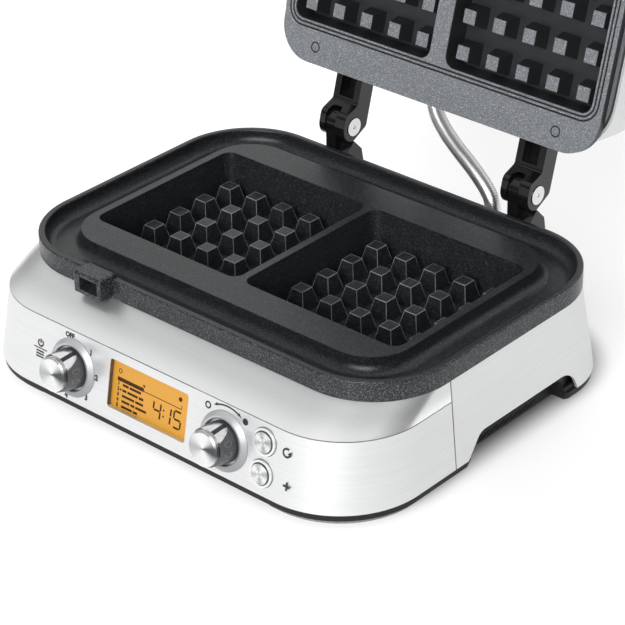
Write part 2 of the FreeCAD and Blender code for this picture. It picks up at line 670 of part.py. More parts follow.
def build_fascia():
    body = new_body("control_fascia")
    top = "seam_height - deck_gap"
    lower = sketch_on(body, lift="skirt_height")
    outline(lower, skirt_outline("skirt_height", "0"))
    upper = sketch_on(body, lift=top)
    outline(upper, skirt_outline(top, "0"))
    loft(body, lower, upper)
    inner_lower = sketch_on(body, lift="skirt_height")
    outline(inner_lower, skirt_outline("skirt_height", "shell_wall"))
    inner_upper = sketch_on(body, lift=top)
    outline(inner_upper, skirt_outline(top, "shell_wall"))
    loft(body, inner_lower, inner_upper, remove=True)
    keep_behind_split(body, front=True)
    collar = console_sketch(body, "-shell_wall / 2")
    edge = "2 * lens_edge"
    outline(collar, centred("window_width + " + edge, "window_height + " + edge, "window_corner + lens_edge",
                            "console_shift", "-window_drop"))
    pad(body, collar, "window_recess - shell_wall / 2", back=True)
    holes = console_sketch(body, "shell_wall")
    outline(holes, centred("window_width", "window_height", "window_corner", "console_shift", "-window_drop"))
    for side in (LEFT_KNOB, RIGHT_KNOB):
        circle(holes, "bush_diameter + fit_gap", side, "-knob_drop")
    for drop in ("-button_drop_upper", "-button_drop_lower"):
        circle(holes, "button_hole", "button_place", drop)
    cut(body, holes, "window_recess + 2 * shell_wall")
    bosses = console_sketch(body, "-shell_wall / 2")
    for side in ("-1", "1"):
        circle(bosses, "screw_head", "console_shift + %s * (board_width / 2 - screw_head)" % side, "-window_drop")
    pad(body, bosses, "board_setback - shell_wall / 2", back=True)


def build_deck():
    body = new_body("top_deck")
    lower = sketch_on(body, lift="seam_height")
    outline(lower, skirt_outline("seam_height", "0"))
    upper = sketch_on(body, lift="rim_base")
    outline(upper, centred("2 * half_top", "2 * back_top", "plate_corner - deck_inset"))
    loft(body, lower, upper)
    inner_lower = sketch_on(body, lift="seam_height")
    outline(inner_lower, skirt_outline("seam_height", "shell_wall"))
    inner_upper = sketch_on(body, lift="rim_base - deck_thick")
    outline(inner_upper, centred("2 * (half_top - shell_wall)", "2 * (back_top - shell_wall)",
                                 "plate_corner - deck_inset - shell_wall"))
    loft(body, inner_lower, inner_upper, remove=True)
    mouth = sketch_on(body, lift="rim_base")
    outline(mouth, centred("2 * (half_top - deck_ledge)", "2 * (back_top - deck_ledge)",
                           "plate_corner - deck_ledge"))
    cut(body, mouth, "2 * deck_thick")
    keep_behind_split(body, front=True)


def build_rear_housing():
    body = new_body("rear_housing")
    for inset, top, remove in (("0", "rim_base", False), ("shell_wall", "rim_base - deck_thick", True)):
        lower = sketch_on(body, lift="skirt_height")
        outline(lower, rear_outline("skirt_height", inset))
        upper = sketch_on(body, lift=top)
        outline(upper, rear_outline(top, inset))
        loft(body, lower, upper, remove)
    mouth = sketch_on(body, lift="rim_base")
    outline(mouth, centred("2 * (half_top - deck_ledge)", "2 * (back_top - deck_ledge)",
                           "plate_corner - deck_ledge"))
    cut(body, mouth, "2 * deck_thick")
    keep_behind_split(body, front=False)
    arch = sketch_on(body, "YZ_Plane", "half_skirt + tray_wall")
    outline(arch, arch_outline("0"))
    cut(body, arch, "2 * (half_skirt + tray_wall)")


def build_tray():
    body = new_body("base_tray")
    inner = "shell_wall + fit_gap"
    lip = sketch_on(body, lift="tray_base")
    outline(lip, skirt_outline("skirt_height", "tray_inset"))
    pad(body, lip, "skirt_height - tray_base - fit_gap / 2")
    lower = sketch_on(body, lift="skirt_height - fit_gap / 2")
    outline(lower, skirt_outline("skirt_height - fit_gap / 2", inner))
    upper = sketch_on(body, lift="tray_edge")
    outline(upper, skirt_outline("tray_edge", inner))
    loft(body, lower, upper)
    hollow = sketch_on(body, lift="tray_edge")
    outline(hollow, skirt_outline("tray_edge", inner + " + tray_wall"))
    cut(body, hollow, "tray_edge - tray_top")
    liner = sketch_on(body, lift="tray_top")
    inner_end = "half_skirt - arch_deep - liner_wall"
    front_end = "-arch_front + arch_lip - liner_wall"
    back_end = "arch_rear - arch_lip + liner_wall"
    outline(liner, [(inner_end, front_end), ("half_liner", front_end),
                    ("half_liner", back_end + " - arch_round_rear"),
                    ("half_liner - arch_lip - liner_wall / 2", back_end), (inner_end, back_end)])
    left_box = pad(body, liner, "liner_top - tray_top")
    mirrored(body, [left_box])
    leg = "arch_rear - rear_leg"
    skin = "half_skirt - tray_inset"
    for side in ("1", "-1"):
        away = side == "-1"
        arch = sketch_on(body, "YZ_Plane", side + " * (half_skirt + tray_wall)")
        outline(arch, arch_outline("arch_lip")[:2]
                + [(leg + " + rear_leg_lean", "arch_height - arch_lip", "arch_round_front"), (leg, "-tray_floor")])
        cut(body, arch, "arch_deep + tray_wall", back=away)
        corner = sketch_on(body, lift="-tray_floor")
        reach = "2 * rear_leg_round"
        outline(corner, [("%s * (%s + tray_wall)" % (side, skin), leg + " - tray_wall"),
                         ("%s * (%s + tray_wall)" % (side, skin), "%s + %s" % (leg, reach)),
                         ("%s * (%s)" % (side, skin), "%s + %s" % (leg, reach)),
                         ("%s * (%s)" % (side, skin), leg, "rear_leg_round"),
                         ("%s * (%s - %s)" % (side, skin, reach), leg),
                         ("%s * (%s - %s)" % (side, skin, reach), leg + " - tray_wall")])
        cut(body, corner, "arch_height - arch_lip", back=True)
        grooves = sketch_on(body, "YZ_Plane", side + " * (half_skirt - arch_deep)")
        first = "-rib_pitch * (rib_count - 1) / 2"
        low = "tray_base + rib_width"
        outline(grooves, [(first, low), (first + " + rib_length", low + " + rib_rise"),
                          (first + " + rib_length", low + " + rib_rise + rib_width"), (first, low + " + rib_width")])
        groove = cut(body, grooves, "rib_depth", back=away)
        rows(body, [groove], "Y_Axis", "rib_count", "rib_pitch * (rib_count - 1)")
    for place in ("-2 * vent_length", "vent_length"):
        vent = sketch_on(body, lift="tray_top")
        first = "-vent_pitch * (vent_count - 1) / 2"
        outline(vent, centred("vent_length", "vent_width", None, place + " + vent_length / 2", first))
        slot = cut(body, vent, "2 * tray_floor")
        rows(body, [slot], "Y_Axis", "vent_count", "vent_pitch * (vent_count - 1)")
    heads = sketch_on(body, lift="tray_base")
    shanks = sketch_on(body, lift="tray_base")
    for x, y in TRAY_SCREWS:
        circle(heads, "screw_head + 2 * screw_play", x, y)
        circle(shanks, "screw_shank + screw_play", x, y)
    collars = sketch_on(body, lift="tray_top")
    for x, y in TRAY_SCREWS:
        circle(collars, "screw_head + 2 * tray_wall", x, y)
    pad(body, collars, "tray_edge - tray_top")
    cut(body, heads, "screw_head_thick + fit_gap", back=True)
    cut(body, shanks, "tray_rise * 2", back=True)


TRAY_SCREWS = [("%s * plate_width / 3" % side, "%s * plate_depth / 2.6" % end)
               for side in ("-1", "1") for end in ("-1", "1")]


def screw_group(label, spots, seat, length, up=True, side=None):
    """Identical screws: heads under a seat, shanks going away from them."""
    body = new_body(label) if side is None else lid_body(label)
    head = sketch_on(body, lift=seat)
    shank = sketch_on(body, lift=seat)
    for x, y in spots:
        circle(head, "screw_head", x, y)
        circle(shank, "screw_shank", x, y)
    pad(body, head, "screw_head_thick", back=up)
    pad(body, shank, length, back=not up)


def build_feet():
    body = new_body("foot_pads")
    ring = sketch_on(body)
    outer = "tray_inset + foot_inset"
    outline(ring, skirt_outline("skirt_height", outer))
    outline(ring, skirt_outline("skirt_height", outer + " + foot_width"))
    pad(body, ring, "tray_base")
    far = "seam_reach + plate_depth"
    reach_x = "half_skirt - foot_arm"
    gap_front = sketch_on(body, lift="tray_base")
    outline(gap_front, box("-(%s)" % reach_x, reach_x, "-(%s)" % far, far))
    cut(body, gap_front, "2 * tray_base")
    gap_side = sketch_on(body, lift="tray_base")
    outline(gap_side, box("-(%s)" % far, far, "-(seam_reach - foot_arm)", "arch_rear + foot_width"))
    cut(body, gap_side, "2 * tray_base")
    middle = sketch_on(body)
    circle(middle, "centre_foot")
    pad(body, middle, "tray_base")


def build_bridge():
    body = new_body("rear_bridge")
    half = "bridge_width / 2"
    levels = []
    for height in ("bridge_base", "bridge_top"):
        section = sketch_on(body, lift=height)
        wall = "back_top + (rim_base - %s) * tan(side_draft) + seat_gap" % height
        outline(section, [("-" + half, wall), (half, wall), (half, "bridge_back", "bridge_corner"),
                          ("-" + half, "bridge_back", "bridge_corner")])
        levels.append(section)
    loft(body, *levels)
    hollow = sketch_on(body, lift="bridge_base")
    front = "back_top + (rim_base - bridge_base) * tan(side_draft) + bridge_wall"
    outline(hollow, box("-%s + bridge_wall" % half, half + " - bridge_wall", front, "bridge_back - bridge_wall"))
    cut(body, hollow, "bridge_top - bridge_base - bridge_wall", back=True)
    entry = sketch_on(body, lift="bridge_top")
    circle(entry, "conduit_diameter + fit_gap", "conduit_base_x", "conduit_base_y")
    cut(body, entry, "2 * bridge_wall")
    gland = sketch_on(body, "XZ_Plane", "-bridge_back")
    circle(gland, "cord_hole + 2 * bridge_wall", "-cord_side", "(bridge_base + bridge_top) / 2")
    cut(body, gland, "2 * bridge_wall", back=True)


# Hinges

def build_bracket(side, name):
    """Fixed knuckle on its foot, with a stop lug behind it that the open arm comes to."""
    body = new_body("hinge_bracket_" + name)
    centre = "%s * hinge_spread" % side
    front = "hinge_reach - knuckle_radius"
    back = "hinge_reach + knuckle_radius"
    crown = "hinge_height + knuckle_radius"
    post = sketch_on(body, "YZ_Plane", centre + " - knuckle_left")
    outline(post, [(front, "bridge_top"), (back, "bridge_top"), (back, crown, "knuckle_radius * 0.98"),
                   (front, crown, "knuckle_radius * 0.98")])
    pad(body, post, "knuckle_left + knuckle_right")
    lug = sketch_on(body, "YZ_Plane", centre + " - knuckle_left + slot_round")
    tilt = "(lid_open - 90)"
    reach = "(knuckle_room - stop_gap)"
    inner = "knuckle_radius * 0.6"
    outer = "arm_thick"
    corners = []
    for along in (inner, outer):
        corners.append(("hinge_reach + %s * sin%s + %s * cos%s" % (reach, tilt, along, tilt),
                        "hinge_height + %s * cos%s - %s * sin%s" % (reach, tilt, along, tilt)))
    corners.append(("hinge_reach + knuckle_radius * 1.3", "hinge_height - knuckle_radius"))
    corners.append(("hinge_reach", "hinge_height - knuckle_radius"))
    outline(lug, corners)
    pad(body, lug, "knuckle_left + knuckle_right - 2 * slot_round")
    foot = sketch_on(body, "YZ_Plane", centre + " - knuckle_left")
    crest = "hinge_height - ear_radius - ear_gap"
    outline(foot, [(front, "bridge_top"), (back, "bridge_top"), (back, crest + " - ear_radius * 1.6"),
                   (back + " - ear_radius * 0.15", crest + " - ear_radius * 0.8"),
                   ("hinge_reach", crest), (front, crest + " - ear_radius * 0.9")])
    pad(body, foot, "knuckle_left + hinge_width / 2")
    bore = sketch_on(body, "YZ_Plane", centre + " - hinge_width")
    circle(bore, "pin_bore", "hinge_reach", "hinge_height")
    cut(body, bore, "2 * hinge_width", back=True)


def build_pin(side, name):
    """Headed pin with a dimpled head let into the right ear."""
    body = new_body("hinge_pin_" + name)
    centre = "%s * hinge_spread" % side
    seat = centre + " + hinge_width / 2 - pin_sink + pin_play"
    shank = sketch_on(body, "YZ_Plane", centre + " - hinge_width / 2")
    circle(shank, "pin_diameter", "hinge_reach", "hinge_height")
    pad(body, shank, "hinge_width - pin_sink + pin_play")
    head = sketch_on(body, "YZ_Plane", seat)
    circle(head, "pin_head", "hinge_reach", "hinge_height")
    pad(body, head, "pin_head_thick")
    dimple = sketch_on(body, "YZ_Plane", seat + " + pin_head_thick")
    circle(dimple, "pin_dimple", "hinge_reach", "hinge_height")
    cut(body, dimple, "pin_head_thick / 2")


def build_arm(side, name):
    """Channel arm with two ears; closed, it lies in front of the axis with its open side down."""
    body = lid_body("hinge_arm_" + name, "%s * hinge_spread" % side)
    half = "hinge_width / 2"
    blank = sketch_on(body, "YZ_Plane", "-" + half)
    outline(blank, [("-arm_length", "0"), ("-arm_slope", "0", "ear_radius / 4"),
                    ("-ear_radius * 0.72", "-ear_radius", "ear_radius / 2"),
                    ("ear_radius", "-ear_radius", "ear_radius * 0.95"),
                    ("ear_radius", "ear_radius * 0.2", "ear_radius / 4"),
                    ("0", "arm_thick", "ear_radius / 3"), ("-arm_length", "arm_thick")])
    pad(body, blank, "hinge_width")
    slot = sketch_on(body, lift="-2 * ear_radius")
    near = "-%s + ear_left" % half
    far = half + " - ear_right"
    outline(slot, [(near, "-knuckle_room", "slot_round"), (near, "2 * ear_radius"), (far, "2 * ear_radius"),
                   (far, "-knuckle_room", "slot_round")])
    cut(body, slot, "2 * (ear_radius + arm_thick)", back=True)
    sink = sketch_on(body, "YZ_Plane", half)
    circle(sink, "pin_head + 2 * ear_gap")
    cut(body, sink, "pin_sink")
    channel = sketch_on(body)
    outline(channel, box("-%s + arm_rail" % half, half + " - arm_rail", "-arm_length", "-arm_web"))
    cut(body, channel, "arm_thick - arm_back", back=True)
    bore = sketch_on(body, "YZ_Plane", "-hinge_width")
    circle(bore, "pin_bore", "0", "0")
    cut(body, bore, "2 * hinge_width", back=True)
    holes = sketch_on(body, lift="arm_thick")
    circle(holes, "screw_shank + screw_play", "0", ARM_SCREW)
    cut(body, holes, "2 * arm_back")


ARM_SCREW = "-cover_back - 2 * arm_tab / 3"


# Lid pieces, drawn closed about the hinge axis

def build_upper_plate():
    body = lid_body("upper_cooking_plate")
    middle = "-hinge_reach"
    flange = sketch_on(body, lift="-face_drop")
    outline(flange, centred("upper_width", "upper_depth", "upper_corner", "0", middle))
    pad(body, flange, "upper_flange")
    belly = sketch_on(body, lift="-frame_base")
    outline(belly, centred("upper_pair + 2 * plate_wall", "upper_pocket_length + 2 * plate_wall",
                           "pocket_corner + plate_wall", "0", middle))
    pad(body, belly, "upper_belly + frame_base", taper="-pocket_taper / 2")
    pockets = sketch_on(body, lift="-face_drop")
    pocket_pair(pockets, "upper_pocket_width", "upper_pocket_length", middle)
    cut(body, pockets, "upper_pocket", back=True, taper="-pocket_taper")
    studs = sketch_on(body, lift="-face_drop + upper_pocket")
    stud_row(studs, "stud_top + 2 * upper_stud * tan(stud_taper)", middle + " - 2 * stud_pitch")
    row = pad(body, studs, "upper_stud", back=True, taper="-stud_taper")
    rows(body, [row], "Y_Axis", "5", "4 * stud_pitch")
    grooves = sketch_on(body, lift="-face_drop")
    for start in ("groove_start", "groove_start + groove_step"):
        for edge in (start, start + " + groove_width"):
            outline(grooves, centred("upper_pair + 2 * (%s)" % edge, "upper_pocket_length + 2 * (%s)" % edge,
                                     "pocket_corner + " + edge, "0", middle))
    cut(body, grooves, "groove_depth", back=True)
    bosses = sketch_on(body, lift="-face_drop")
    for x in ("-boss_place", "boss_place"):
        for end in ("-1", "1"):
            y = middle + " + %s * (upper_depth / 2 - boss_inset)" % end
            circle(bosses, "boss_ring", x, y)
            circle(bosses, "boss_face", x, y)
    cut(body, bosses, "groove_depth", back=True)


def build_lid_frame():
    body = lid_body("lid_frame")
    ring = sketch_on(body, lift="-frame_base")
    edge = "2 * (cover_wall + fit_gap)"
    lean = "2 * cover_base * tan(cover_taper)"
    outline(ring, centred("cover_width - %s - %s" % (edge, lean), "cover_depth - %s - %s" % (edge, lean),
                          "cover_corner - cover_wall - fit_gap", "0", "cover_middle"))
    opening = "2 * (plate_wall + fit_gap)"
    outline(ring, centred("pockets_width + " + opening, "pocket_length + " + opening,
                          "pocket_corner + plate_wall", "0", "-hinge_reach"))
    pad(body, ring, "frame_base")
    holes = sketch_on(body, lift="-frame_base")
    for side in ("-hinge_spread", "hinge_spread"):
        circle(holes, "screw_shank + screw_play", side, ARM_SCREW)
    cut(body, holes, "frame_base", back=True)


def build_cover():
    body = lid_body("lid_cover")
    middle = "cover_middle"
    shell = sketch_on(body, lift="-cover_base")
    outline(shell, centred("cover_width", "cover_depth", "cover_corner", "0", middle))
    pad(body, shell, "cover_height", taper="-cover_taper")
    inside = sketch_on(body, lift="-cover_base")
    outline(inside, centred("cover_width - 2 * cover_wall", "cover_depth - 2 * cover_wall",
                            "cover_corner - cover_wall", "0", middle))
    cut(body, inside, "cover_height - cover_wall", back=True, taper="-cover_taper")
    rounded(body, "cover_round", at_height("cover_height - cover_base"))
    rounded(body, "cover_round - cover_wall", at_height("cover_height - cover_base - cover_wall"))
    notches = sketch_on(body, "XZ_Plane", "cover_back - cover_round")
    for side in ("-hinge_spread", "hinge_spread"):
        outline(notches, box("%s - hinge_width / 2 - fit_gap" % side, "%s + hinge_width / 2 + fit_gap" % side,
                             "-2 * cover_base", "arm_thick + fit_gap"))
    cut(body, notches, "2 * cover_round", back=True)
    entry = sketch_on(body, "XZ_Plane", "cover_back - cover_round")
    circle(entry, "gland_flange", "-conduit_lid_x", "conduit_lid_z")
    cut(body, entry, "2 * cover_round", back=True)


def build_handle():
    arms = lid_body("handle_arms")
    for side in ("-1", "1"):
        profile = sketch_on(arms, "YZ_Plane", "%s * handle_spread - handle_arm / 2" % side)
        low = "grip_base"
        high = "grip_base + handle_rise"
        seat = "-cover_front + (%s + cover_base) * tan(cover_taper)"
        outline(profile, [("-grip_back", low), (seat % low, low), (seat % high, high), ("-grip_back", high)])
        pad(arms, profile, "handle_arm")
    bore = sketch_on(arms, "YZ_Plane", "-handle_spread - handle_arm")
    circle(bore, "latch_pin", "-latch_y", "latch_z")
    cut(arms, bore, "handle_arm", back=True)
    grip = lid_body("lid_handle")
    section = sketch_on(grip, "YZ_Plane", "-grip_length / 2")
    outline(section, box("-grip_back - grip_deep", "-grip_back", "grip_base", "grip_base + grip_tall", "grip_tall / 3"))
    pad(grip, section, "grip_length")
    half = value("grip_length / 2")
    rounded(grip, "grip_tall / 4", lambda edge: abs(abs(edge.BoundBox.XMin) - half) < 1e-4
            and edge.BoundBox.XLength < 1e-4)
    pin = lid_body("latch_pin")
    rod = sketch_on(pin, "YZ_Plane", "-handle_spread - handle_arm / 2 - latch_width - 2 * ear_gap")
    circle(rod, "latch_pin", "-latch_y", "latch_z")
    pad(pin, rod, "latch_width + 2 * ear_gap + handle_arm * 0.4")
    head = sketch_on(pin, "YZ_Plane", "-handle_spread - handle_arm / 2 - latch_width - 2 * ear_gap")
    circle(head, "latch_pin * 1.8", "-latch_y", "latch_z")
    pad(pin, head, "latch_pin / 2", back=True)


def build_latch():
    """Lever beside the left handle arm; its hook enters the keeper window from the front."""
    body = new_body("latch_lever")
    turn = "lid_open"
    base = ("-handle_spread - handle_arm / 2 - ear_gap - latch_width / 2",
            "hinge_reach - latch_y * cos(%s) + latch_z * sin(%s)" % (turn, turn),
            "hinge_height + latch_y * sin(%s) + latch_z * cos(%s)" % (turn, turn))
    set_frame(body, "Placement", base, (-1, 0, 0), "lid_open + latch_open")
    start = "-latch_width / 2"
    window = "(hinge_height + latch_z - rim_top - keeper_lift + keeper_height / 2)"
    stand = "(plate_depth / 2 + keeper_reach - latch_y + hinge_reach + 1.6 * fit_gap)"
    lever = sketch_on(body, "YZ_Plane", start)
    half_tip = "(keeper_height / 2 - keeper_wall - 4 * fit_gap)"
    tip = "-%s + keeper_reach * 0.55" % stand
    face = "-%s" % stand
    heel = "-%s - latch_thick" % stand
    outline(lever, [(heel, "-latch_boss * 0.7"), (heel + " - latch_thick", "-%s - keeper_height * 0.6" % window),
                    (heel + " + latch_thick / 2", "-%s - keeper_height * 0.6" % window),
                    (face, "-%s - %s" % (window, half_tip)),
                    (tip, "-%s - %s + latch_thick / 5" % (window, half_tip)),
                    (tip, "-%s + %s - latch_thick / 8" % (window, half_tip)),
                    (face, "-%s + %s" % (window, half_tip)), (face, "-latch_boss * 0.9"),
                    ("latch_boss * 0.3", "-latch_boss * 0.2"), ("-latch_boss * 0.2", "latch_boss * 0.3")])
    pad(body, lever, "latch_width")
    boss = sketch_on(body, "YZ_Plane", start)
    circle(boss, "latch_boss")
    pad(body, boss, "latch_width")
    bore = sketch_on(body, "YZ_Plane", "-latch_width")
    circle(bore, "latch_pin + pin_play")
    cut(body, bore, "2 * latch_width", back=True)


# Heating

def element(body, level, middle, tail):
    """Tube along an open loop with two tails; tail is 1 for tails towards +Y."""
    path = sketch_on(body, lift=level)
    x = "loop_width / 2"
    near = "%s + %d * loop_depth / 2" % (middle, tail)
    far = "%s - %d * loop_depth / 2" % (middle, tail)
    end = "%s + %d * tail_length" % (near, tail)
    outline(path, [("-tail_spread / 2", end), ("-tail_spread / 2", near, "tube_bend"),
                   ("-" + x, near, "tube_bend"), ("-" + x, far, "tube_bend"), (x, far, "tube_bend"),
                   (x, near, "tube_bend"), ("tail_spread / 2", near, "tube_bend"), ("tail_spread / 2", end)],
            closed=False)
    section = sketch_on(body, "XZ_Plane", "-(%s)" % end)
    circle(section, "tube_diameter", "-tail_spread / 2", level)
    pipe = body.newObject("PartDesign::AdditivePipe", body.Label + "_pipe")
    pipe.Profile = section
    pipe.Spine = path
    return pipe


def build_heating():
    lower = new_body("lower_heating_element")
    element(lower, "belly_base - tube_diameter / 2 - seat_gap", "0", 1)
    upper = lid_body("upper_heating_element")
    element(upper, "upper_belly + tube_diameter / 2 + seat_gap", "-hinge_reach", 1)
    shield = new_body("lower_heat_shield")
    pan = sketch_on(shield, lift="shield_base")
    outline(pan, centred("shield_width", "shield_depth", "shield_corner"))
    pad(shield, pan, "shield_drop")
    flange = sketch_on(shield, lift="rim_base - shield_wall")
    edge = "2 * shield_flange"
    outline(flange, centred("shield_width + " + edge, "shield_depth + " + edge, "shield_corner + shield_flange"))
    pad(shield, flange, "shield_wall")
    hollow = sketch_on(shield, lift="rim_base")
    sheet = "2 * shield_wall"
    outline(hollow, centred("shield_width - " + sheet, "shield_depth - " + sheet, "shield_corner - shield_wall"))
    cut(shield, hollow, "shield_drop - shield_wall")
    holes = sketch_on(shield, lift="rim_base")
    for x, y in SHIELD_SCREWS:
        circle(holes, "screw_shank + screw_play", x, y)
    cut(shield, holes, "2 * shield_wall")
    cap = lid_body("upper_heat_shield")
    level = "upper_belly + tube_diameter + 4 * shield_wall"
    plate = sketch_on(cap, lift=level)
    outline(plate, centred("pockets_width", "pocket_length", "shield_corner", "0", "-hinge_reach"))
    pad(cap, plate, "shield_wall")
    legs = sketch_on(cap, lift="upper_belly")
    for x in ("-pocket_place", "pocket_place"):
        for y in ("-1", "1"):
            circle(legs, "screw_head", x, "-hinge_reach + %s * loop_depth / 4" % y)
    pad(cap, legs, level + " - upper_belly")


def build_sensors():
    sensor = new_body("temperature_sensor")
    stub = sketch_on(sensor, lift="belly_base")
    circle(stub, "screw_head + tube_diameter", "0", "0")
    pad(sensor, stub, "shield_wall", back=True)
    bulb = sketch_on(sensor, lift="belly_base")
    circle(bulb, "screw_head", "0", "0")
    pad(sensor, bulb, "tube_diameter", back=True)
    fuse = new_body("thermal_fuse")
    strap = sketch_on(fuse, lift="shield_base + shield_wall")
    outline(strap, centred("fuse_strap", "screw_head", None, "pocket_place", "0"))
    pad(fuse, strap, "shield_wall")
    capsule = sketch_on(fuse, "YZ_Plane", "pocket_place - fuse_strap / 3")
    circle(capsule, "tube_diameter * 0.7", "0", "shield_base + shield_wall + tube_diameter * 0.5")
    pad(fuse, capsule, "fuse_strap * 0.66")
    lid_sensor = lid_body("lid_sensor")
    base = sketch_on(lid_sensor, lift="upper_belly")
    circle(base, "screw_head + tube_diameter", "0", "-hinge_reach")
    pad(lid_sensor, base, "shield_wall")
    stem = sketch_on(lid_sensor, lift="upper_belly")
    circle(stem, "screw_head", "0", "-hinge_reach")
    pad(lid_sensor, stem, "tube_diameter")


# Console pieces

def build_display():
    lens = panel_body("display_window", "console_shift", "window_drop")
    glass = sketch_on(lens, lift="-window_recess")
    outline(glass, centred("window_width + 2 * lens_edge", "window_height + 2 * lens_edge",
                           "window_corner + lens_edge"))
    pad(lens, glass, "lens_thick", back=True)
    module = panel_body("display_module", "console_shift", "window_drop")
    stack = sketch_on(module, lift="-window_recess - lens_thick")
    outline(stack, centred("window_width + 2 * lens_edge", "window_height + 2 * lens_edge"))
    pad(module, stack, "board_setback - window_recess - lens_thick", back=True)
    board = panel_body("control_board", "console_shift", "window_drop")
    sheet = sketch_on(board, lift="-board_setback")
    outline(sheet, centred("board_width", "board_height", "window_corner"))
    pad(board, sheet, "board_thick", back=True)


def build_knob(name, side, rest):
    bezel = panel_body(name + "_bezel", side, "knob_drop")
    ring = sketch_on(bezel, "XZ_Plane")
    outline(ring, [("bezel_bore / 2", "0"), ("bezel_diameter / 2", "0"),
                   ("bezel_diameter / 2", "bezel_height / 4"),
                   ("bezel_bore / 2 + bezel_height / 2", "bezel_height"), ("bezel_bore / 2", "bezel_height")])
    turned(bezel, ring)
    knob = panel_body(name + "_knob", side, "knob_drop")
    set_turned = "knob_height - knob_wall"
    profile = sketch_on(knob, "XZ_Plane")
    outline(profile, [("shaft_diameter / 2", set_turned), ("bush_diameter / 2 + knob_wall", set_turned),
                      ("bush_diameter / 2 + knob_wall", "knob_lift"), ("knob_base / 2", "knob_lift"),
                      ("knob_base / 2", "bezel_height"), ("knob_neck / 2", "knob_height"),
                      ("shaft_diameter / 2", "knob_height")])
    turned(knob, profile)
    slice_off(knob, rest, "pointer_thick")
    pointer = panel_body(name + "_pointer", side, "knob_drop")
    blank = sketch_on(pointer, "XZ_Plane")
    outline(blank, [("knob_wall", "knob_lift"), ("knob_base / 2", "knob_lift"), ("knob_base / 2", "bezel_height"),
                    ("knob_neck / 2", "knob_height"), ("knob_wall", "knob_height")])
    turned(pointer, blank)
    slice_off(pointer, rest, "0")
    slice_off(pointer, rest, "pointer_thick - seat_gap", keep_outside=True)
    cap = panel_body(name + "_knob_cap", side, "knob_drop")
    dish = sketch_on(cap, "XZ_Plane")
    face = "knob_height + cap_thick"
    outline(dish, [("0", "knob_height"), ("cap_diameter / 2", "knob_height"),
                   ("cap_diameter / 2", face + " - cap_edge / 2"),
                   ("cap_diameter / 2 - cap_edge", face), ("0", face + " - cap_dish")])
    turned(cap, dish)
    shaft = panel_body(name + "_shaft", side, "knob_drop")
    rod = sketch_on(shaft, lift="-switch_face - switch_thick / 2")
    circle(rod, "shaft_diameter")
    pad(shaft, rod, "switch_face + switch_thick / 2 + knob_height")
    switch = panel_body(name + ("_switch" if name == "menu" else "_encoder"), side, "knob_drop")
    case = sketch_on(switch, lift="-board_setback")
    outline(case, centred("switch_width", "switch_width", "window_corner"))
    pad(switch, case, "switch_thick")
    bush = sketch_on(switch, lift="-switch_face")
    circle(bush, "bush_diameter")
    pad(switch, bush, "switch_face + bezel_height")
    bore = sketch_on(switch, lift="bezel_height")
    circle(bore, "shaft_diameter + pin_play")
    cut(switch, bore, "bezel_height + switch_face + switch_thick * 0.6")


def slice_off(body, rest, inset, keep_outside=False):
    """Cut a knob along the sloping pointer plane, set in towards the axis."""
    plane = body.newObject("Sketcher::SketchObject", body.Label + "_sketch")
    plane.AttachmentSupport = [(plane_of(body, "YZ_Plane"), "")]
    plane.MapMode = "FlatFace"
    set_frame(plane, "AttachmentOffset", ("0", "0", "0"), (0, -1, 0), rest)
    high = "2 * knob_height"
    line = "pointer_near - (%s) + (knob_height - (%s)) * tan(pointer_lean)"
    far = "-knob_base" if keep_outside else "2 * knob_base"
    outline(plane, [(line % (inset, "0"), "0"), (line % (inset, high), high), (far, high), (far, "0")])
    cut(body, plane, "knob_base")
    cut(body, plane, "knob_base", back=True)


def build_button(name, drop, level):
    ring = panel_body("button_ring_" + level, "button_place", drop)
    band = sketch_on(ring)
    circle(band, "ring_diameter")
    circle(band, "button_hole")
    pad(ring, band, "ring_height")
    button = panel_body(name + "_button", "button_place", drop)
    profile = sketch_on(button, "XZ_Plane")
    collar = "-shell_wall - button_play"
    stem = "-board_setback + tact_thick + 2 * button_travel"
    outline(profile, [("0", stem), ("tact_width / 3", stem), ("tact_width / 3", collar + " - shell_wall"),
                      ("ring_diameter / 2", collar + " - shell_wall"), ("ring_diameter / 2", collar),
                      ("button_diameter / 2", collar), ("button_diameter / 2", "button_rise - cap_dish"),
                      ("button_diameter / 2 - cap_dish", "button_rise"), ("0", "button_rise - cap_dish")])
    turned(button, profile)
    tact = panel_body(name + "_tact_switch", "button_place", drop)
    case = sketch_on(tact, lift="-board_setback")
    outline(case, centred("tact_width", "tact_width"))
    pad(tact, case, "tact_thick")
    plunger = sketch_on(tact, lift="-board_setback + tact_thick")
    circle(plunger, "tact_width / 2")
    pad(tact, plunger, "button_travel / 2")


# Supply, glands and conduit

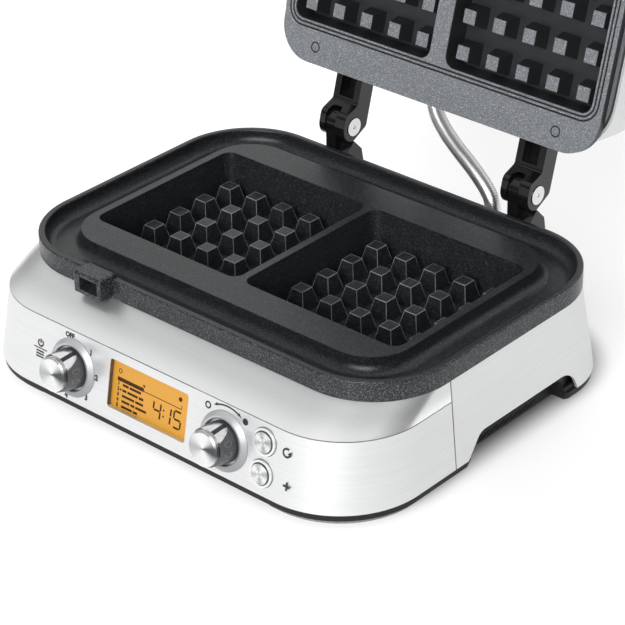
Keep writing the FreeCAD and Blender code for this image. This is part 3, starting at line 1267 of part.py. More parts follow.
def build_supply():
    board = new_body("power_board")
    side = "pocket_place"
    sheet = sketch_on(board, lift="tray_edge")
    outline(sheet, centred("pocket_width * 0.75", "switch_width * 2", "window_corner", "-" + side, "-plate_depth / 5"))
    pad(board, sheet, "board_thick")
    posts = sketch_on(board, lift="tray_top")
    for x in ("-1", "1"):
        for y in ("-1", "1"):
            circle(posts, "screw_head", "-%s + %s * pocket_width * 0.3" % (side, x),
                   "-plate_depth / 5 + %s * switch_width * 0.75" % y)
    pad(board, posts, "tray_edge - tray_top")
    for width, depth, tall, shift in (("switch_width", "switch_width * 0.7", "switch_width * 0.7", "-switch_width"),
                                      ("switch_width * 0.7", "switch_width", "switch_width * 0.6", "0.2 * switch_width"),
                                      ("switch_width * 0.5", "switch_width * 0.5", "switch_width * 0.8", "1.2 * switch_width")):
        block = sketch_on(board, lift="tray_edge + board_thick")
        outline(block, centred(width, depth, None, "-%s + %s" % (side, shift), "-plate_depth / 5"))
        pad(board, block, "(%s) * 0.8" % tall)
    terminal = new_body("terminal_block")
    rail = sketch_on(terminal, lift="tray_top")
    place = ("-cord_side", "plate_depth / 3")
    outline(rail, centred("switch_width * 1.6", "switch_width * 0.6", None, *place))
    pad(terminal, rail, "switch_width * 0.5")
    barrier = sketch_on(terminal, lift="tray_top + switch_width * 0.5")
    for step in ("-0.7", "-0.23", "0.23", "0.7"):
        outline(barrier, centred("tray_wall", "switch_width * 0.6", None, "-cord_side + %s * switch_width" % step, place[1]))
    pad(terminal, barrier, "tray_wall * 2")


def gland(body, role, level, x, y, hole, inward, back=False):
    """Flanged bush: a flange on the outside and a sleeve through the wall."""
    flange = sketch_on(body, role, level)
    circle(flange, hole + " + 4 * bridge_wall", x, y)
    circle(flange, hole, x, y)
    pad(body, flange, "gland_thick", back=back)
    sleeve = sketch_on(body, role, level)
    circle(sleeve, hole + " + 2 * bridge_wall - fit_gap", x, y)
    circle(sleeve, hole, x, y)
    pad(body, sleeve, inward, back=not back)


def build_glands():
    cord = new_body("cord_gland")
    gland(cord, "XZ_Plane", "-bridge_back", "-cord_side", "(bridge_base + bridge_top) / 2", "cord_hole",
          "bridge_wall + gland_thick", back=True)
    base = new_body("conduit_gland_base")
    collar = sketch_on(base, lift="bridge_top")
    circle(collar, "gland_flange", "conduit_base_x", "conduit_base_y")
    circle(collar, "conduit_diameter + seat_gap", "conduit_base_x", "conduit_base_y")
    pad(base, collar, "gland_thick * 1.5")
    lid = lid_body("conduit_gland_lid")
    block = sketch_on(lid, "XZ_Plane", "cover_back + conduit_in - gland_thick * 2.7")
    outline(block, box("-conduit_lid_x - gland_flange / 2", "-conduit_lid_x + gland_flange / 2", "0",
                       "conduit_lid_z + gland_flange / 2"))
    circle(block, "conduit_diameter + seat_gap", "-conduit_lid_x", "conduit_lid_z")
    pad(lid, block, "gland_thick * 2.7")


def bent_wire(points, radii):
    """Straight runs joined by tangent arcs."""
    edges = []
    start = points[0]
    for number, radius in enumerate(radii, start=1):
        corner = points[number]
        arrive = (corner - points[number - 1]).normalize()
        leave = (points[number + 1] - corner).normalize()
        half_turn = arrive.getAngle(leave) / 2
        trim = radius * math.tan(half_turn)
        inward = (leave - arrive).normalize()
        middle = corner + inward * (radius / math.cos(half_turn) - radius)
        first = corner - arrive * trim
        last = corner + leave * trim
        edges.append(Part.LineSegment(start, first).toShape())
        edges.append(Part.Arc(first, middle, last).toShape())
        start = last
    edges.append(Part.LineSegment(start, points[-1]).toShape())
    return Part.Wire(edges)


def halved_corner(before, corner, after, radius):
    """Two route points in place of one corner, both touching the bend."""
    arrive = (corner - before).normalize()
    leave = (after - corner).normalize()
    half_turn = arrive.getAngle(leave) / 2
    trim = radius * (math.tan(half_turn) - math.tan(half_turn / 2))
    return [corner - arrive * trim, corner + leave * trim]


def build_conduit():
    """Flexible metal conduit from the lid down to the hinge housing, as it hangs with the lid open."""
    place = Vector(0, value("hinge_reach"), value("hinge_height"))
    turn = FreeCAD.Rotation(Vector(-1, 0, 0), value("lid_open"))
    ends = []
    for along in ("-cover_back - conduit_in", "-cover_back + conduit_out"):
        ends.append(place + turn.multVec(Vector(-value("conduit_lid_x"), value(along), value("conduit_lid_z"))))
    foot = Vector(value("conduit_base_x"), value("conduit_base_y"), value("bridge_top"))
    ends.append(foot + Vector(0, 0, value("conduit_rise")))
    ends.append(foot - Vector(0, 0, value("bridge_wall")))
    bends = [value("conduit_bend_lid"), value("conduit_bend_base")]
    route = [ends[0]]
    for number, radius in enumerate(bends, start=1):
        route += halved_corner(ends[number - 1], ends[number], ends[number + 1], radius)
    route.append(ends[-1])
    easing = value("conduit_easing")
    wire = bent_wire(route, [easing * radius for radius in bends for half in range(2)])
    run = (ends[1] - ends[0]).normalize()
    solids = []
    for size in ("conduit_diameter", "conduit_bore"):
        ring = Part.Wire([Part.makeCircle(value(size) / 2, ends[0], run)])
        solids.append(wire.makePipeShell([ring], True, True))
    conduit = doc.addObject("Part::Feature", "wiring_conduit")
    conduit.Shape = solids[0].cut(solids[1])
    pieces.append(conduit)
    for point in route:
        print("conduit point %.2f %.2f %.2f" % tuple(point))
    print("conduit length %.1f" % wire.Length)


# Build, check and write every piece

build_lower_plate()
build_fascia()
build_deck()
build_rear_housing()
build_tray()
build_feet()
build_bridge()
for side, name in (("-1", "left"), ("1", "right")):
    build_bracket(side, name)
    build_pin(side, name)
    build_arm(side, name)
build_upper_plate()
build_lid_frame()
build_cover()
build_handle()
build_latch()
build_heating()
build_sensors()
build_display()
build_knob("menu", LEFT_KNOB, "menu_rest")
build_knob("browning", RIGHT_KNOB, "browning_rest")
build_button("restart", "button_drop_upper", "upper")
build_button("extra_time", "button_drop_lower", "lower")
build_supply()
build_glands()
build_conduit()
screw_group("plate_screws", SHIELD_SCREWS, "rim_base - shield_wall", "shield_wall + plate_wall / 3")
screw_group("tray_screws", TRAY_SCREWS, "tray_base + screw_head_thick + fit_gap", "tray_rise")
screw_group("arm_screws", [("-hinge_spread", ARM_SCREW), ("hinge_spread", ARM_SCREW)], "arm_thick",
            "arm_thick + frame_base * 0.8", up=False, side="lid")
doc.recompute()

for item in doc.Objects:
    if "Invalid" in item.State or "Error" in item.State:
        raise RuntimeError("%s is %s" % (item.Name, item.State))
for feature in cuts:
    before = feature.BaseFeature.Shape.Volume
    if feature.Shape.Volume > before - 0.5:
        raise RuntimeError("%s removes nothing" % feature.Name)
os.makedirs("parts", exist_ok=True)
for piece in pieces:
    shape = piece.Shape
    if not shape.isValid() or not shape.Solids:
        raise RuntimeError("%s has no valid solid" % piece.Label)
    shape.exportStep("parts/%s.step" % piece.Label)
    span = shape.BoundBox
    print("%-24s %d solids %8.2f cm3  x %7.1f %7.1f  y %7.1f %7.1f  z %7.1f %7.1f" % (
        piece.Label, len(shape.Solids), shape.Volume / 1000, span.XMin, span.XMax, span.YMin, span.YMax,
        span.ZMin, span.ZMax))
print("%d pieces" % len(pieces))
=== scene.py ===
import bmesh
import bpy
import math
import numpy as np
from mathutils import Matrix, Vector


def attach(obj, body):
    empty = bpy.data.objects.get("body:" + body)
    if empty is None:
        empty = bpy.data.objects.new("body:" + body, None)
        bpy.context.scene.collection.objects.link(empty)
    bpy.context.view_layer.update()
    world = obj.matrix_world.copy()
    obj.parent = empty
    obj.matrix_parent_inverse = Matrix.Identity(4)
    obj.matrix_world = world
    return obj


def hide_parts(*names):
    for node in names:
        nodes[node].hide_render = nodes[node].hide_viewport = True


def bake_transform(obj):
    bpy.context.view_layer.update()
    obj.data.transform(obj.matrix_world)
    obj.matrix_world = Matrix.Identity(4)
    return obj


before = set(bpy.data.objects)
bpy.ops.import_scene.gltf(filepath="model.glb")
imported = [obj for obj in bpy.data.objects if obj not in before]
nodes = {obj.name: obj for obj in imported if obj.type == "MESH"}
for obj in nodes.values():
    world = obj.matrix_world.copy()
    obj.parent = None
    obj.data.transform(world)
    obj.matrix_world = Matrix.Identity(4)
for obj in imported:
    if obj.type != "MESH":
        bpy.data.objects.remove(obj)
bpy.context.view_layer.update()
mm = 0.001
print("frame loaded,", len(nodes), "nodes")

# Camera at the photograph's viewing angle: place in millimetres, focal length in pixels of its square frame
view = {"place": (861.4, -945.7, 773.1), "azimuth": 42.213, "elevation": 30.217, "roll": -1.073,
        "focal": 2511.274, "frame": 625.0, "sensor": 36.0, "nearClip": 0.05, "farClip": 20.0}


def makeCamera(setup):
    az, el, roll = (math.radians(setup[key]) for key in ("azimuth", "elevation", "roll"))
    back = Vector((math.sin(az) * math.cos(el), -math.cos(az) * math.cos(el), math.sin(el)))
    right = Vector((math.cos(az), math.sin(az), 0))
    up = back.cross(right)
    across = right * math.cos(roll) + up * math.sin(roll)
    above = up * math.cos(roll) - right * math.sin(roll)
    turn = Matrix((across, above, back)).transposed().to_4x4()
    data = bpy.data.cameras.new("viewCamera")
    data.sensor_width = setup["sensor"]
    data.lens = setup["focal"] / setup["frame"] * setup["sensor"]
    data.clip_start = setup["nearClip"]
    data.clip_end = setup["farClip"]
    camera = bpy.data.objects.new("viewCamera", data)
    camera.matrix_world = Matrix.Translation(Vector(setup["place"]) * mm) @ turn
    bpy.context.scene.collection.objects.link(camera)
    bpy.context.scene.camera = camera


makeCamera(view)
print("camera set")

# The console's own frame: x right, y up the console, z straight out of it, in millimetres
console = {"lean": 10.96, "seamReach": 128.3, "seamHeight": 50.05}
menuDial = {"x": -61.1, "drop": 22.4, "rest": 20.0}
browningDial = {"x": 57.2, "drop": 22.4, "rest": 15.0}
buttons = {"x": 86.0, "upperDrop": 11.6, "lowerDrop": 30.4}


def consoleMatrix(x=0.0, drop=0.0):
    lean = math.radians(console["lean"])
    reach = console["seamReach"] + drop * math.sin(lean)
    height = console["seamHeight"] - drop * math.cos(lean)
    place = Matrix.Translation(Vector((x, -reach, height)) * mm)
    return place @ Matrix.Rotation(math.pi / 2 - lean, 4, "X") @ Matrix.Scale(mm, 4)


# Mesh helpers

def makePiece(name, mesh, material, body):
    if material is not None:
        mesh.materials.append(material)
    piece = bpy.data.objects.new(name, mesh)
    bpy.context.scene.collection.objects.link(piece)
    if body is not None:
        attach(piece, body)
    return piece


def meshOf(name, points, faces, smooth=True):
    mesh = bpy.data.meshes.new(name)
    mesh.from_pydata(np.asarray(points, float).reshape(-1, 3).tolist(), [], faces)
    mesh.polygons.foreach_set("use_smooth", np.full(len(mesh.polygons), smooth))
    return mesh


def gridFaces(rows, columns, wrapRows=False, wrapColumns=False):
    # a quad between each point of a grid and its next neighbours
    row = np.arange(rows if wrapRows else rows - 1)[:, None]
    column = np.arange(columns if wrapColumns else columns - 1)[None, :]
    below, beside = (row + 1) % rows, (column + 1) % columns
    corners = ((row, column), (row, beside), (below, beside), (below, column))
    return np.stack([down * columns + over for down, over in corners], -1).reshape(-1, 4).tolist()


def barFaces(rows):  # a four-sided bar, closed at both ends
    last = (rows - 1) * 4
    return gridFaces(rows, 4, wrapColumns=True) + [[3, 2, 1, 0], [last, last + 1, last + 2, last + 3]]


def joinMeshes(name, meshes):
    joined = bmesh.new()
    for mesh in meshes:
        joined.from_mesh(mesh)
        bpy.data.meshes.remove(mesh)
    bmesh.ops.recalc_face_normals(joined, faces=joined.faces[:])
    mesh = bpy.data.meshes.new(name)
    joined.to_mesh(mesh)
    joined.free()
    return mesh


# The bent conduit between the hinge housing and the lid
conduit = {"route": ((-21.30, 144.36, 131.40), (-21.30, 139.71, 115.16), (-9.58, 133.07, 97.35),
                     (36.95, 121.14, 76.87), (45.30, 119.00, 63.83), (45.30, 119.00, 46.50)),
           "fineness": 48, "pathStep": 4, "diameter": 9.8, "pitch": 1.2, "groove": 0.11, "crestPower": 0.8,
           "around": 32, "perPitch": 6, "ridge": (0.84, 0.845, 0.85), "grooveShade": (0.5, 0.505, 0.515),
           "rough": 0.28, "furrowRough": 0.12, "haze": 300.0, "hazeSpread": 0.08, "lift": 0.01}


def splineLine(route, fineness):  # points of the smooth NURBS line that the route controls
    curve = bpy.data.curves.new("conduitRoute", "CURVE")
    curve.dimensions = "3D"
    spline = curve.splines.new("NURBS")
    spline.points.add(len(route) - 1)
    control = np.column_stack((np.array(route) * mm, np.ones(len(route))))
    spline.points.foreach_set("co", control.ravel())
    spline.order_u = 3
    spline.use_endpoint_u = True
    spline.resolution_u = fineness
    carrier = bpy.data.objects.new("conduitRoute", curve)
    line = bpy.data.meshes.new_from_object(carrier)
    points = np.empty(len(line.vertices) * 3)
    line.vertices.foreach_get("co", points)
    bpy.data.objects.remove(carrier)
    bpy.data.curves.remove(curve)
    bpy.data.meshes.remove(line)
    return points.reshape(-1, 3)


def makeConduit(look):
    # a tube along the line: place + r(s, a) * (u cos a + v sin a), its radius r dipping in a helix of grooves
    line = splineLine(look["route"], look["fineness"])
    run = np.concatenate(([0.0], np.cumsum(np.linalg.norm(np.diff(line, axis=0), axis=1))))
    pitch, around = look["pitch"] * mm, look["around"]
    rings = int(run[-1] / pitch * look["perPitch"])
    along = np.linspace(0.0, run[-1], rings)
    centre = np.column_stack([np.interp(along, run, line[:, axis]) for axis in range(3)])
    heading = np.gradient(centre, axis=0)
    heading /= np.linalg.norm(heading, axis=1, keepdims=True)
    side = np.cross(heading, (0.0, 1.0, 0.0))
    side /= np.linalg.norm(side, axis=1, keepdims=True)
    other = np.cross(heading, side)
    angle = np.linspace(0.0, 2 * np.pi, around, endpoint=False)
    crest = np.abs(np.sin(np.pi * along[:, None] / pitch + angle / 2)) ** look["crestPower"]
    radius = (look["diameter"] / 2 - look["groove"] * (1 - crest)) * mm
    outward = side[:, None] * np.cos(angle)[None, :, None] + other[:, None] * np.sin(angle)[None, :, None]
    points = centre[:, None] + radius[..., None] * outward
    faces = gridFaces(rings, around, wrapColumns=True)
    faces += [list(range(around))[::-1], list(range((rings - 1) * around, rings * around))]
    mesh = meshOf("wiringConduitTube", points, faces)
    crestValue = mesh.attributes.new("crest", "FLOAT", "POINT")
    crestValue.data.foreach_set("value", crest.ravel().astype(np.float32))
    piece = makePiece("wiringConduitTube", mesh, None, None)
    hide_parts("wiring_conduit")
    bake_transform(piece)
    print("conduit length %.1f mm" % (run[-1] / mm))
    return piece


conduitPiece = makeConduit(conduit)
print("conduit made")


# Colours, sockets with arithmetic, and one material's node tree

def rgba(colour):
    if isinstance(colour, Flow):
        return colour
    return (*colour, 1.0) if hasattr(colour, "__len__") else (colour, colour, colour, 1.0)


def tinted(colour, share):
    return tuple(min(1.0, part * share) for part in colour)


class Flow:
    def __init__(self, shade, socket):
        self.shade = shade
        self.socket = socket

    def calc(self, operation, first, second=0.0):
        return self.shade.add("ShaderNodeMath", {"operation": operation}, {0: first, 1: second})

    def __add__(self, other):
        return self.calc("ADD", self, other)

    def __radd__(self, other):
        return self.calc("ADD", other, self)

    def __sub__(self, other):
        return self.calc("SUBTRACT", self, other)

    def __rsub__(self, other):
        return self.calc("SUBTRACT", other, self)

    def __mul__(self, other):
        return self.calc("MULTIPLY", self, other)

    def __rmul__(self, other):
        return self.calc("MULTIPLY", other, self)

    def __pow__(self, other):
        return self.calc("POWER", self, other)

    def wave(self):
        return self.calc("SINE", self)

    def size(self):
        return self.calc("ABSOLUTE", self)

    def atLeast(self, other):
        return self.calc("MAXIMUM", self, other)

    def foldedOver(self, span):  # back and forth between 0 and span
        return self.calc("PINGPONG", self, span)

    def angleOver(self, other):  # angle of the point (other, self), in radians
        return self.calc("ARCTAN2", self, other)

    def distanceWith(self, other):  # from the origin to the point (self, other)
        return (self * self + other * other) ** 0.5

    def steps(self, low, high):  # 0 below low, 1 above high, smooth between
        return self.shade.add("ShaderNodeMapRange", {"interpolation_type": "SMOOTHSTEP"},
                              {"Value": self, "From Min": low, "From Max": high})

    def past(self, limit, fade):  # 0 up to the limit, 1 from fade beyond it, both in millimetres
        return self.steps(limit * mm, (limit + fade) * mm)

    def within(self, limit, fade):  # 1 up to fade before the limit, 0 from the limit on, both in millimetres
        return (limit * mm - self).steps(0.0, fade * mm)


class Shade:
    def __init__(self, name, makers=None, source="Object"):
        self.material = (bpy.data.materials if makers is None else makers).new(name)
        self.material.use_nodes = True
        self.tree = self.material.node_tree
        self.tree.nodes.clear()
        self.place = self.add("ShaderNodeTexCoord", out=source)

    def add(self, kind, settings=None, sockets=None, out=0):
        node = self.tree.nodes.new(kind)
        for key, setting in (settings or {}).items():
            setattr(node, key, setting)
        for key, value in (sockets or {}).items():
            if isinstance(value, Flow):
                self.tree.links.new(value.socket, node.inputs[key])
            else:
                node.inputs[key].default_value = value
        return Flow(self, node.outputs[out])

    def moved(self, scale=(1, 1, 1), location=(0, 0, 0), rotation=(0, 0, 0), kind="POINT"):
        return self.add("ShaderNodeMapping", {"vector_type": kind},
                        {"Vector": self.place, "Location": location, "Rotation": rotation, "Scale": scale})

    def parts(self, vector):
        split = self.add("ShaderNodeSeparateXYZ", {}, {0: vector}).socket.node
        return [Flow(self, split.outputs[axis]) for axis in range(3)]

    def consoleParts(self, x=0.0, drop=0.0):  # the place in the console's frame, from that point of it
        base = consoleMatrix(x, drop)
        return self.parts(self.moved(location=base.translation, rotation=base.to_euler(), kind="TEXTURE"))

    def noise(self, scale, stretch=(1, 1, 1), detail=3.0, rough=0.55):
        return self.add("ShaderNodeTexNoise", {}, {"Vector": self.moved(stretch), "Scale": scale,
                                                   "Detail": detail, "Roughness": rough})

    def mix(self, amount, low, high):  # colours, low where amount is 0
        return self.add("ShaderNodeMix", {"data_type": "RGBA"},
                        {"Factor": amount, 6: rgba(low), 7: rgba(high)}, out=2)

    def bump(self, height, lift, strength):  # lift in millimetres
        return self.add("ShaderNodeBump", {}, {"Height": height, "Distance": lift * mm, "Strength": strength})

    def surface(self, sockets, shader="ShaderNodeBsdfPrincipled", output="ShaderNodeOutputMaterial"):
        shown = self.add(shader, {}, sockets)
        self.tree.links.new(shown.socket, self.tree.nodes.new(output).inputs["Surface"])
        return self.material


def boxInset(side, rise, halfSide, halfRise, corner):  # how far a point lies inside a rounded box
    aside = (side.size() - halfSide + corner).atLeast(0.0)
    ahead = (rise.size() - halfRise + corner).atLeast(0.0)
    return corner - aside.distanceWith(ahead)


# Brushed steel, with painted shade in places of the console and a painted light band along the deck's seam
steel = {"colour": (0.70, 0.705, 0.71), "contrast": 0.06, "rough": 0.33, "spread": 0.10, "metal": 0.62,
         "fine": 4200.0, "broad": 900.0, "along": 22.0, "speck": 2400.0, "shares": (0.45, 0.25, 0.3),
         "range": (0.3, 0.7), "smudge": 18.0, "smudgeSpread": 0.05, "lift": 0.02, "strength": 0.5}
deckSteel = dict(steel, metal=0.85)
# painted light: the deck paler in a band along the seam
paintedDeckLight = {"low": 49.5, "band": 9.0, "pale": 1.34}
# painted shade: dark is the colour painted on the recess walls and round the buttons' rings
recess = {"x": -1.95, "half": 34.0, "floor": -35.2, "floorFade": 0.4, "depth": 0.2, "depthFade": 0.5,
          "soft": 0.2, "dark": (0.13, 0.132, 0.138), "ring": 8.1, "seamHalf": 0.34}


def consoleShading(shade, tone, look):
    # painted shade on the walls of the display recess above its sill, and a painted contact shadow where each
    # button's ring meets the console
    side, rise, out = shade.consoleParts()
    inside = (side - look["x"] * mm).size().within(look["half"], look["soft"])
    deep = (0.0 - out).past(look["depth"], look["depthFade"]) * rise.past(look["floor"], look["floorFade"])
    tone = shade.mix(inside * deep, tone, look["dark"])
    aside = side - buttons["x"] * mm
    for drop in (buttons["upperDrop"], buttons["lowerDrop"]):
        gap = aside.distanceWith(rise + drop * mm) - look["ring"] * mm
        tone = shade.mix(gap.size().within(look["seamHalf"], look["soft"]), tone, look["dark"])
    return tone


def brushedSteel(name, look, lines=(1, 1, 0), paintedRecessShade=None, foot=None):
    # brush lines: noise drawn out along the axes that lines marks
    shade = Shade(name)
    fine = shade.noise(1.0, [look["along"] if run else look["fine"] for run in lines], 2.0)
    broad = shade.noise(1.0, [look["along"] / 2 if run else look["broad"] for run in lines], 2.0)
    speck = shade.noise(look["speck"], detail=1.0)
    fineShare, broadShare, speckShare = look["shares"]
    brush = fine * fineShare + broad * broadShare + speck * speckShare
    smudge = shade.noise(look["smudge"], detail=4.0)
    tone = shade.mix(brush.steps(*look["range"]), tinted(look["colour"], 1 - look["contrast"]),
                     tinted(look["colour"], 1 + look["contrast"]))
    if foot:  # painted light: paler towards the seam
        level = shade.parts(shade.place)[2]
        tone = shade.mix(level.past(foot["low"], foot["band"]), tinted(look["colour"], foot["pale"]), tone)
    # painted shade in the display recess and round the buttons' rings
    if paintedRecessShade:
        tone = consoleShading(shade, tone, paintedRecessShade)
    rough = look["rough"] + look["spread"] * (brush - 0.5) + look["smudgeSpread"] * (smudge - 0.5)
    return shade.surface({"Base Color": tone, "Metallic": look["metal"], "Roughness": rough,
                          "Normal": shade.bump(brush, look["lift"], look["strength"])})


# Sprayed coating of the plates
studs = {"pitch": 22.0, "pocket": 59.55, "half": 4.2, "foot": 7.1}
coating = {"deep": (0.009, 0.0101, 0.0114), "fleck": (0.066, 0.075, 0.085), "rough": 0.33, "gloss": 0.4,
           "grain": 1150.0, "edge": (0.17, 0.183, 0.198), "outline": (147.3, 103.3, 50.0), "edgeBand": 2.5,
           "worn": (0.27, 0.288, 0.31)}
# painted light: the lid's plate gets a paler copy of the same coating, standing in for the stronger light on
# it
litUpperCoating = {"deep": (0.125, 0.134, 0.145), "fleck": (0.53, 0.555, 0.585), "rough": 0.40, "gloss": 0.5,
                "grain": 1700.0, "hollow": (0.014, 0.015, 0.0165)}
spray = {"grainDetail": 2.5, "grainRough": 0.75, "cloud": 60.0, "fleckRange": (0.48, 0.74),
         "grainSpread": 0.24, "cloudSpread": 0.1, "lift": 0.07, "strength": 0.55}
studEdgeLook = {"studTop": 60.5, "above": 0.4, "aboveFade": 0.2, "rimHalf": 0.34, "rimFade": 0.2, "rimDrop": 0.5,
        "rimDropFade": 0.3, "arrisHalf": 0.36, "arrisFade": 0.22, "arrisLow": 49.5, "arrisLowFade": 1.0,
        "margin": 0.1, "least": 0.4, "patches": (0.35, 0.6)}
hollows = {"pivot": (0.0, 112.7, 88.1), "turn": -106.0, "face": -12.2, "start": 0.3, "fade": 0.6,
           "studMargin": 0.4, "studSink": 3.4, "sinkMargin": 0.5, "studFade": 0.3}


def studDistance(side, rise):  # how far a point is from the nearest stud's middle, each way and the greater
    halfPitch = studs["pitch"] / 2 * mm
    across = (side.size() - studs["pocket"] * mm).foldedOver(halfPitch)
    along = rise.foldedOver(halfPitch)
    return across, along, across.atLeast(along)


def edgeFleck(shade, look):  # flecks show more on the rim's outer face
    side, rise, _ = shade.parts(shade.place)
    inset = boxInset(side, rise, *(size * mm for size in look["outline"]))
    return shade.mix(inset.past(0.0, look["edgeBand"]), look["edge"], look["fleck"])


def studEdgeLines(shade, tone, cloud, look, worn):  # pale lines round the studs' tops and down their corners
    side, rise, level = shade.parts(shade.place)
    across, along, reach = studDistance(side, rise)
    half, top, margin = studs["half"], look["studTop"], look["margin"]
    rim = (reach - half * mm).size().within(look["rimHalf"], look["rimFade"])
    rim = rim * level.past(top - look["rimDrop"], look["rimDropFade"])
    arris = (across - along).size().within(look["arrisHalf"], look["arrisFade"])
    arris = arris * level.past(look["arrisLow"], look["arrisLowFade"])
    arris = arris * reach.past(half - margin, margin) * reach.within(studs["foot"], margin)
    lines = rim.atLeast(arris) * level.within(top + look["above"], look["aboveFade"])
    patches = look["least"] + (1 - look["least"]) * cloud.steps(*look["patches"])
    return shade.mix(lines * patches, tone, worn)


def hollowShading(shade, tone, look, dark):
    # painted shade in the grooves and pockets behind the plate's face, kept off the studs
    side, rise, depth = shade.parts(shade.moved(location=Vector(look["pivot"]) * mm, kind="TEXTURE",
                                                rotation=(math.radians(look["turn"]), 0, 0)))
    behind = depth - look["face"] * mm
    reach = studDistance(side, rise + look["pivot"][1] * mm)[2]
    studFace = reach.within(studs["half"] + look["studMargin"], look["studFade"])
    studFace = studFace * behind.within(look["studSink"] + look["sinkMargin"], look["studFade"])
    return shade.mix(behind.past(look["start"], look["fade"]) * (1 - studFace), tone, dark)


def plateCoating(name, look):
    # dark ground with fine pale flecks
    shade = Shade(name)
    grain = shade.noise(look["grain"], detail=spray["grainDetail"], rough=spray["grainRough"])
    cloud = shade.noise(spray["cloud"], detail=4.0)
    fleck = edgeFleck(shade, look) if "edge" in look else look["fleck"]
    tone = shade.mix(grain.steps(*spray["fleckRange"]), look["deep"], fleck)
    if "worn" in look:
        tone = studEdgeLines(shade, tone, cloud, studEdgeLook, look["worn"])
    if "hollow" in look:
        tone = hollowShading(shade, tone, hollows, look["hollow"])
    rough = look["rough"] + spray["grainSpread"] * (grain - 0.5) + spray["cloudSpread"] * (cloud - 0.5)
    return shade.surface({"Base Color": tone, "Specular IOR Level": look["gloss"], "Roughness": rough,
                          "Normal": shade.bump(grain, spray["lift"], spray["strength"])})


# Plastics and paints
moulding = {"cloud": 40.0, "paler": 1.5, "paleAdd": 0.008, "range": (0.35, 0.75), "textureShare": 0.6,
            "cloudShare": 0.3, "textureSpread": 0.16, "cloudSpread": 0.1, "lift": 0.04}


def mouldedPlastic(name, colour, rough=0.48, grain=1400.0, strength=0.4, gloss=0.5):
    shade = Shade(name)
    texture = shade.noise(grain, detail=2.0)
    cloud = shade.noise(moulding["cloud"], detail=3.0)
    pale = tuple(min(1.0, part * moulding["paler"] + moulding["paleAdd"]) for part in colour)
    speckle = texture.steps(*moulding["range"]) * moulding["textureShare"] + cloud * moulding["cloudShare"]
    uneven = rough + moulding["textureSpread"] * (texture - 0.5) + moulding["cloudSpread"] * (cloud - 0.5)
    return shade.surface({"Base Color": shade.mix(speckle, colour, pale), "Roughness": uneven,
                          "Specular IOR Level": gloss,
                          "Normal": shade.bump(texture, moulding["lift"], strength)})


# Bare metals
bare = {"haze": 220.0, "dull": 0.82, "hazeSpread": 0.12, "scratch": (2600, 60, 2600), "scratchSpread": 0.05,
        "lift": 0.01, "strength": 0.3}


def brightMetal(name, colour, rough=0.16):
    shade = Shade(name)
    haze = shade.noise(bare["haze"], detail=4.0)
    scratch = shade.noise(1.0, bare["scratch"], 2.0)
    uneven = rough + bare["hazeSpread"] * (haze - 0.5) + bare["scratchSpread"] * (scratch - 0.5)
    return shade.surface({"Base Color": shade.mix(haze, tinted(colour, bare["dull"]), colour),
                          "Metallic": 1.0, "Roughness": uneven,
                          "Normal": shade.bump(scratch, bare["lift"], bare["strength"])})


def conduitMetal(name, look):
    # ridges bright; grooves dull, and darkened with painted shade
    shade = Shade(name)
    crest = shade.add("ShaderNodeAttribute", {"attribute_name": "crest"}, out="Fac")
    haze = shade.noise(look["haze"], detail=3.0)
    rough = look["rough"] + look["furrowRough"] * (1 - crest) + look["hazeSpread"] * (haze - 0.5)
    return shade.surface({"Base Color": shade.mix(crest.steps(0.1, 0.8), look["grooveShade"], look["ridge"]),
                          "Metallic": 1.0, "Roughness": rough,
                          "Normal": shade.bump(haze, look["lift"], bare["strength"])})


# Turned pieces: each has dark fans on its face, painted as the reflection of spun metal, and painted shade at
# seams given as a radius and a half width
lathe = {"rings": 5200.0, "ringShare": 0.16, "spread": 0.1, "lift": 0.05, "strength": 0.7, "litSide": 1.45,
         "soft": 0.2}
capSpun = {"pale": (0.86, 0.863, 0.868), "dark": (0.07, 0.072, 0.076), "blades": 2.0, "turn": 1.27,
           "edge": 2.2, "oneSided": 0.55, "fanReflection": 1.0, "metal": 0.8, "rough": 0.24, "seamShade": ()}
buttonSpun = {"pale": (0.80, 0.803, 0.808), "dark": (0.34, 0.343, 0.35), "blades": 4.0, "turn": 0.4,
              "edge": 1.3, "oneSided": 0.2, "fanReflection": 0.85, "metal": 0.6, "rough": 0.28, "seamShade": ((6.3, 0.42),)}
ringSpun = dict(buttonSpun, fanReflection=0.0, pale=(0.84, 0.843, 0.848), seamShade=())
bezelSatin = {"pale": (0.58, 0.585, 0.597), "dark": (0.26, 0.264, 0.275), "blades": 1.0, "turn": 2.6,
              "edge": 1.0, "oneSided": 0.0, "fanReflection": 0.8, "metal": 0.6, "rough": 0.4, "seamShade": ((13.4, 0.6),)}


def spunMetal(name, x, drop, look):
    # lathe marks: rings of noise round the piece's own axis, with dark fans painted as its reflection,
    # painted weaker on the lit side
    shade = Shade(name)
    side, rise, _ = shade.consoleParts(x, drop)
    reach = side.distanceWith(rise)
    rings = shade.add("ShaderNodeTexNoise", {"noise_dimensions": "1D"},
                      {"W": reach * lathe["rings"], "Scale": 1.0, "Detail": 2.0})
    heading = rise.angleOver(side)
    # painted reflection: dark fans round the piece's axis
    paintedFans = (0.5 + 0.5 * (look["blades"] * heading + look["turn"]).wave()) ** look["edge"]
    # painted light: the fans weaker on the lit side
    lean = 1 - look["oneSided"] * (0.5 - 0.5 * (heading + lathe["litSide"]).wave())
    tone = shade.mix(paintedFans * lean * look["fanReflection"] + rings * lathe["ringShare"], look["pale"], look["dark"])
    # painted shade in the gap at each seam
    for radius, half in look["seamShade"]:
        tone = shade.mix((reach - radius * mm).size().within(half, lathe["soft"]), tone, recess["dark"])
    return shade.surface({"Base Color": tone, "Metallic": look["metal"],
                          "Roughness": look["rough"] + lathe["spread"] * (rings - 0.5),
                          "Normal": shade.bump(rings, lathe["lift"], lathe["strength"])})


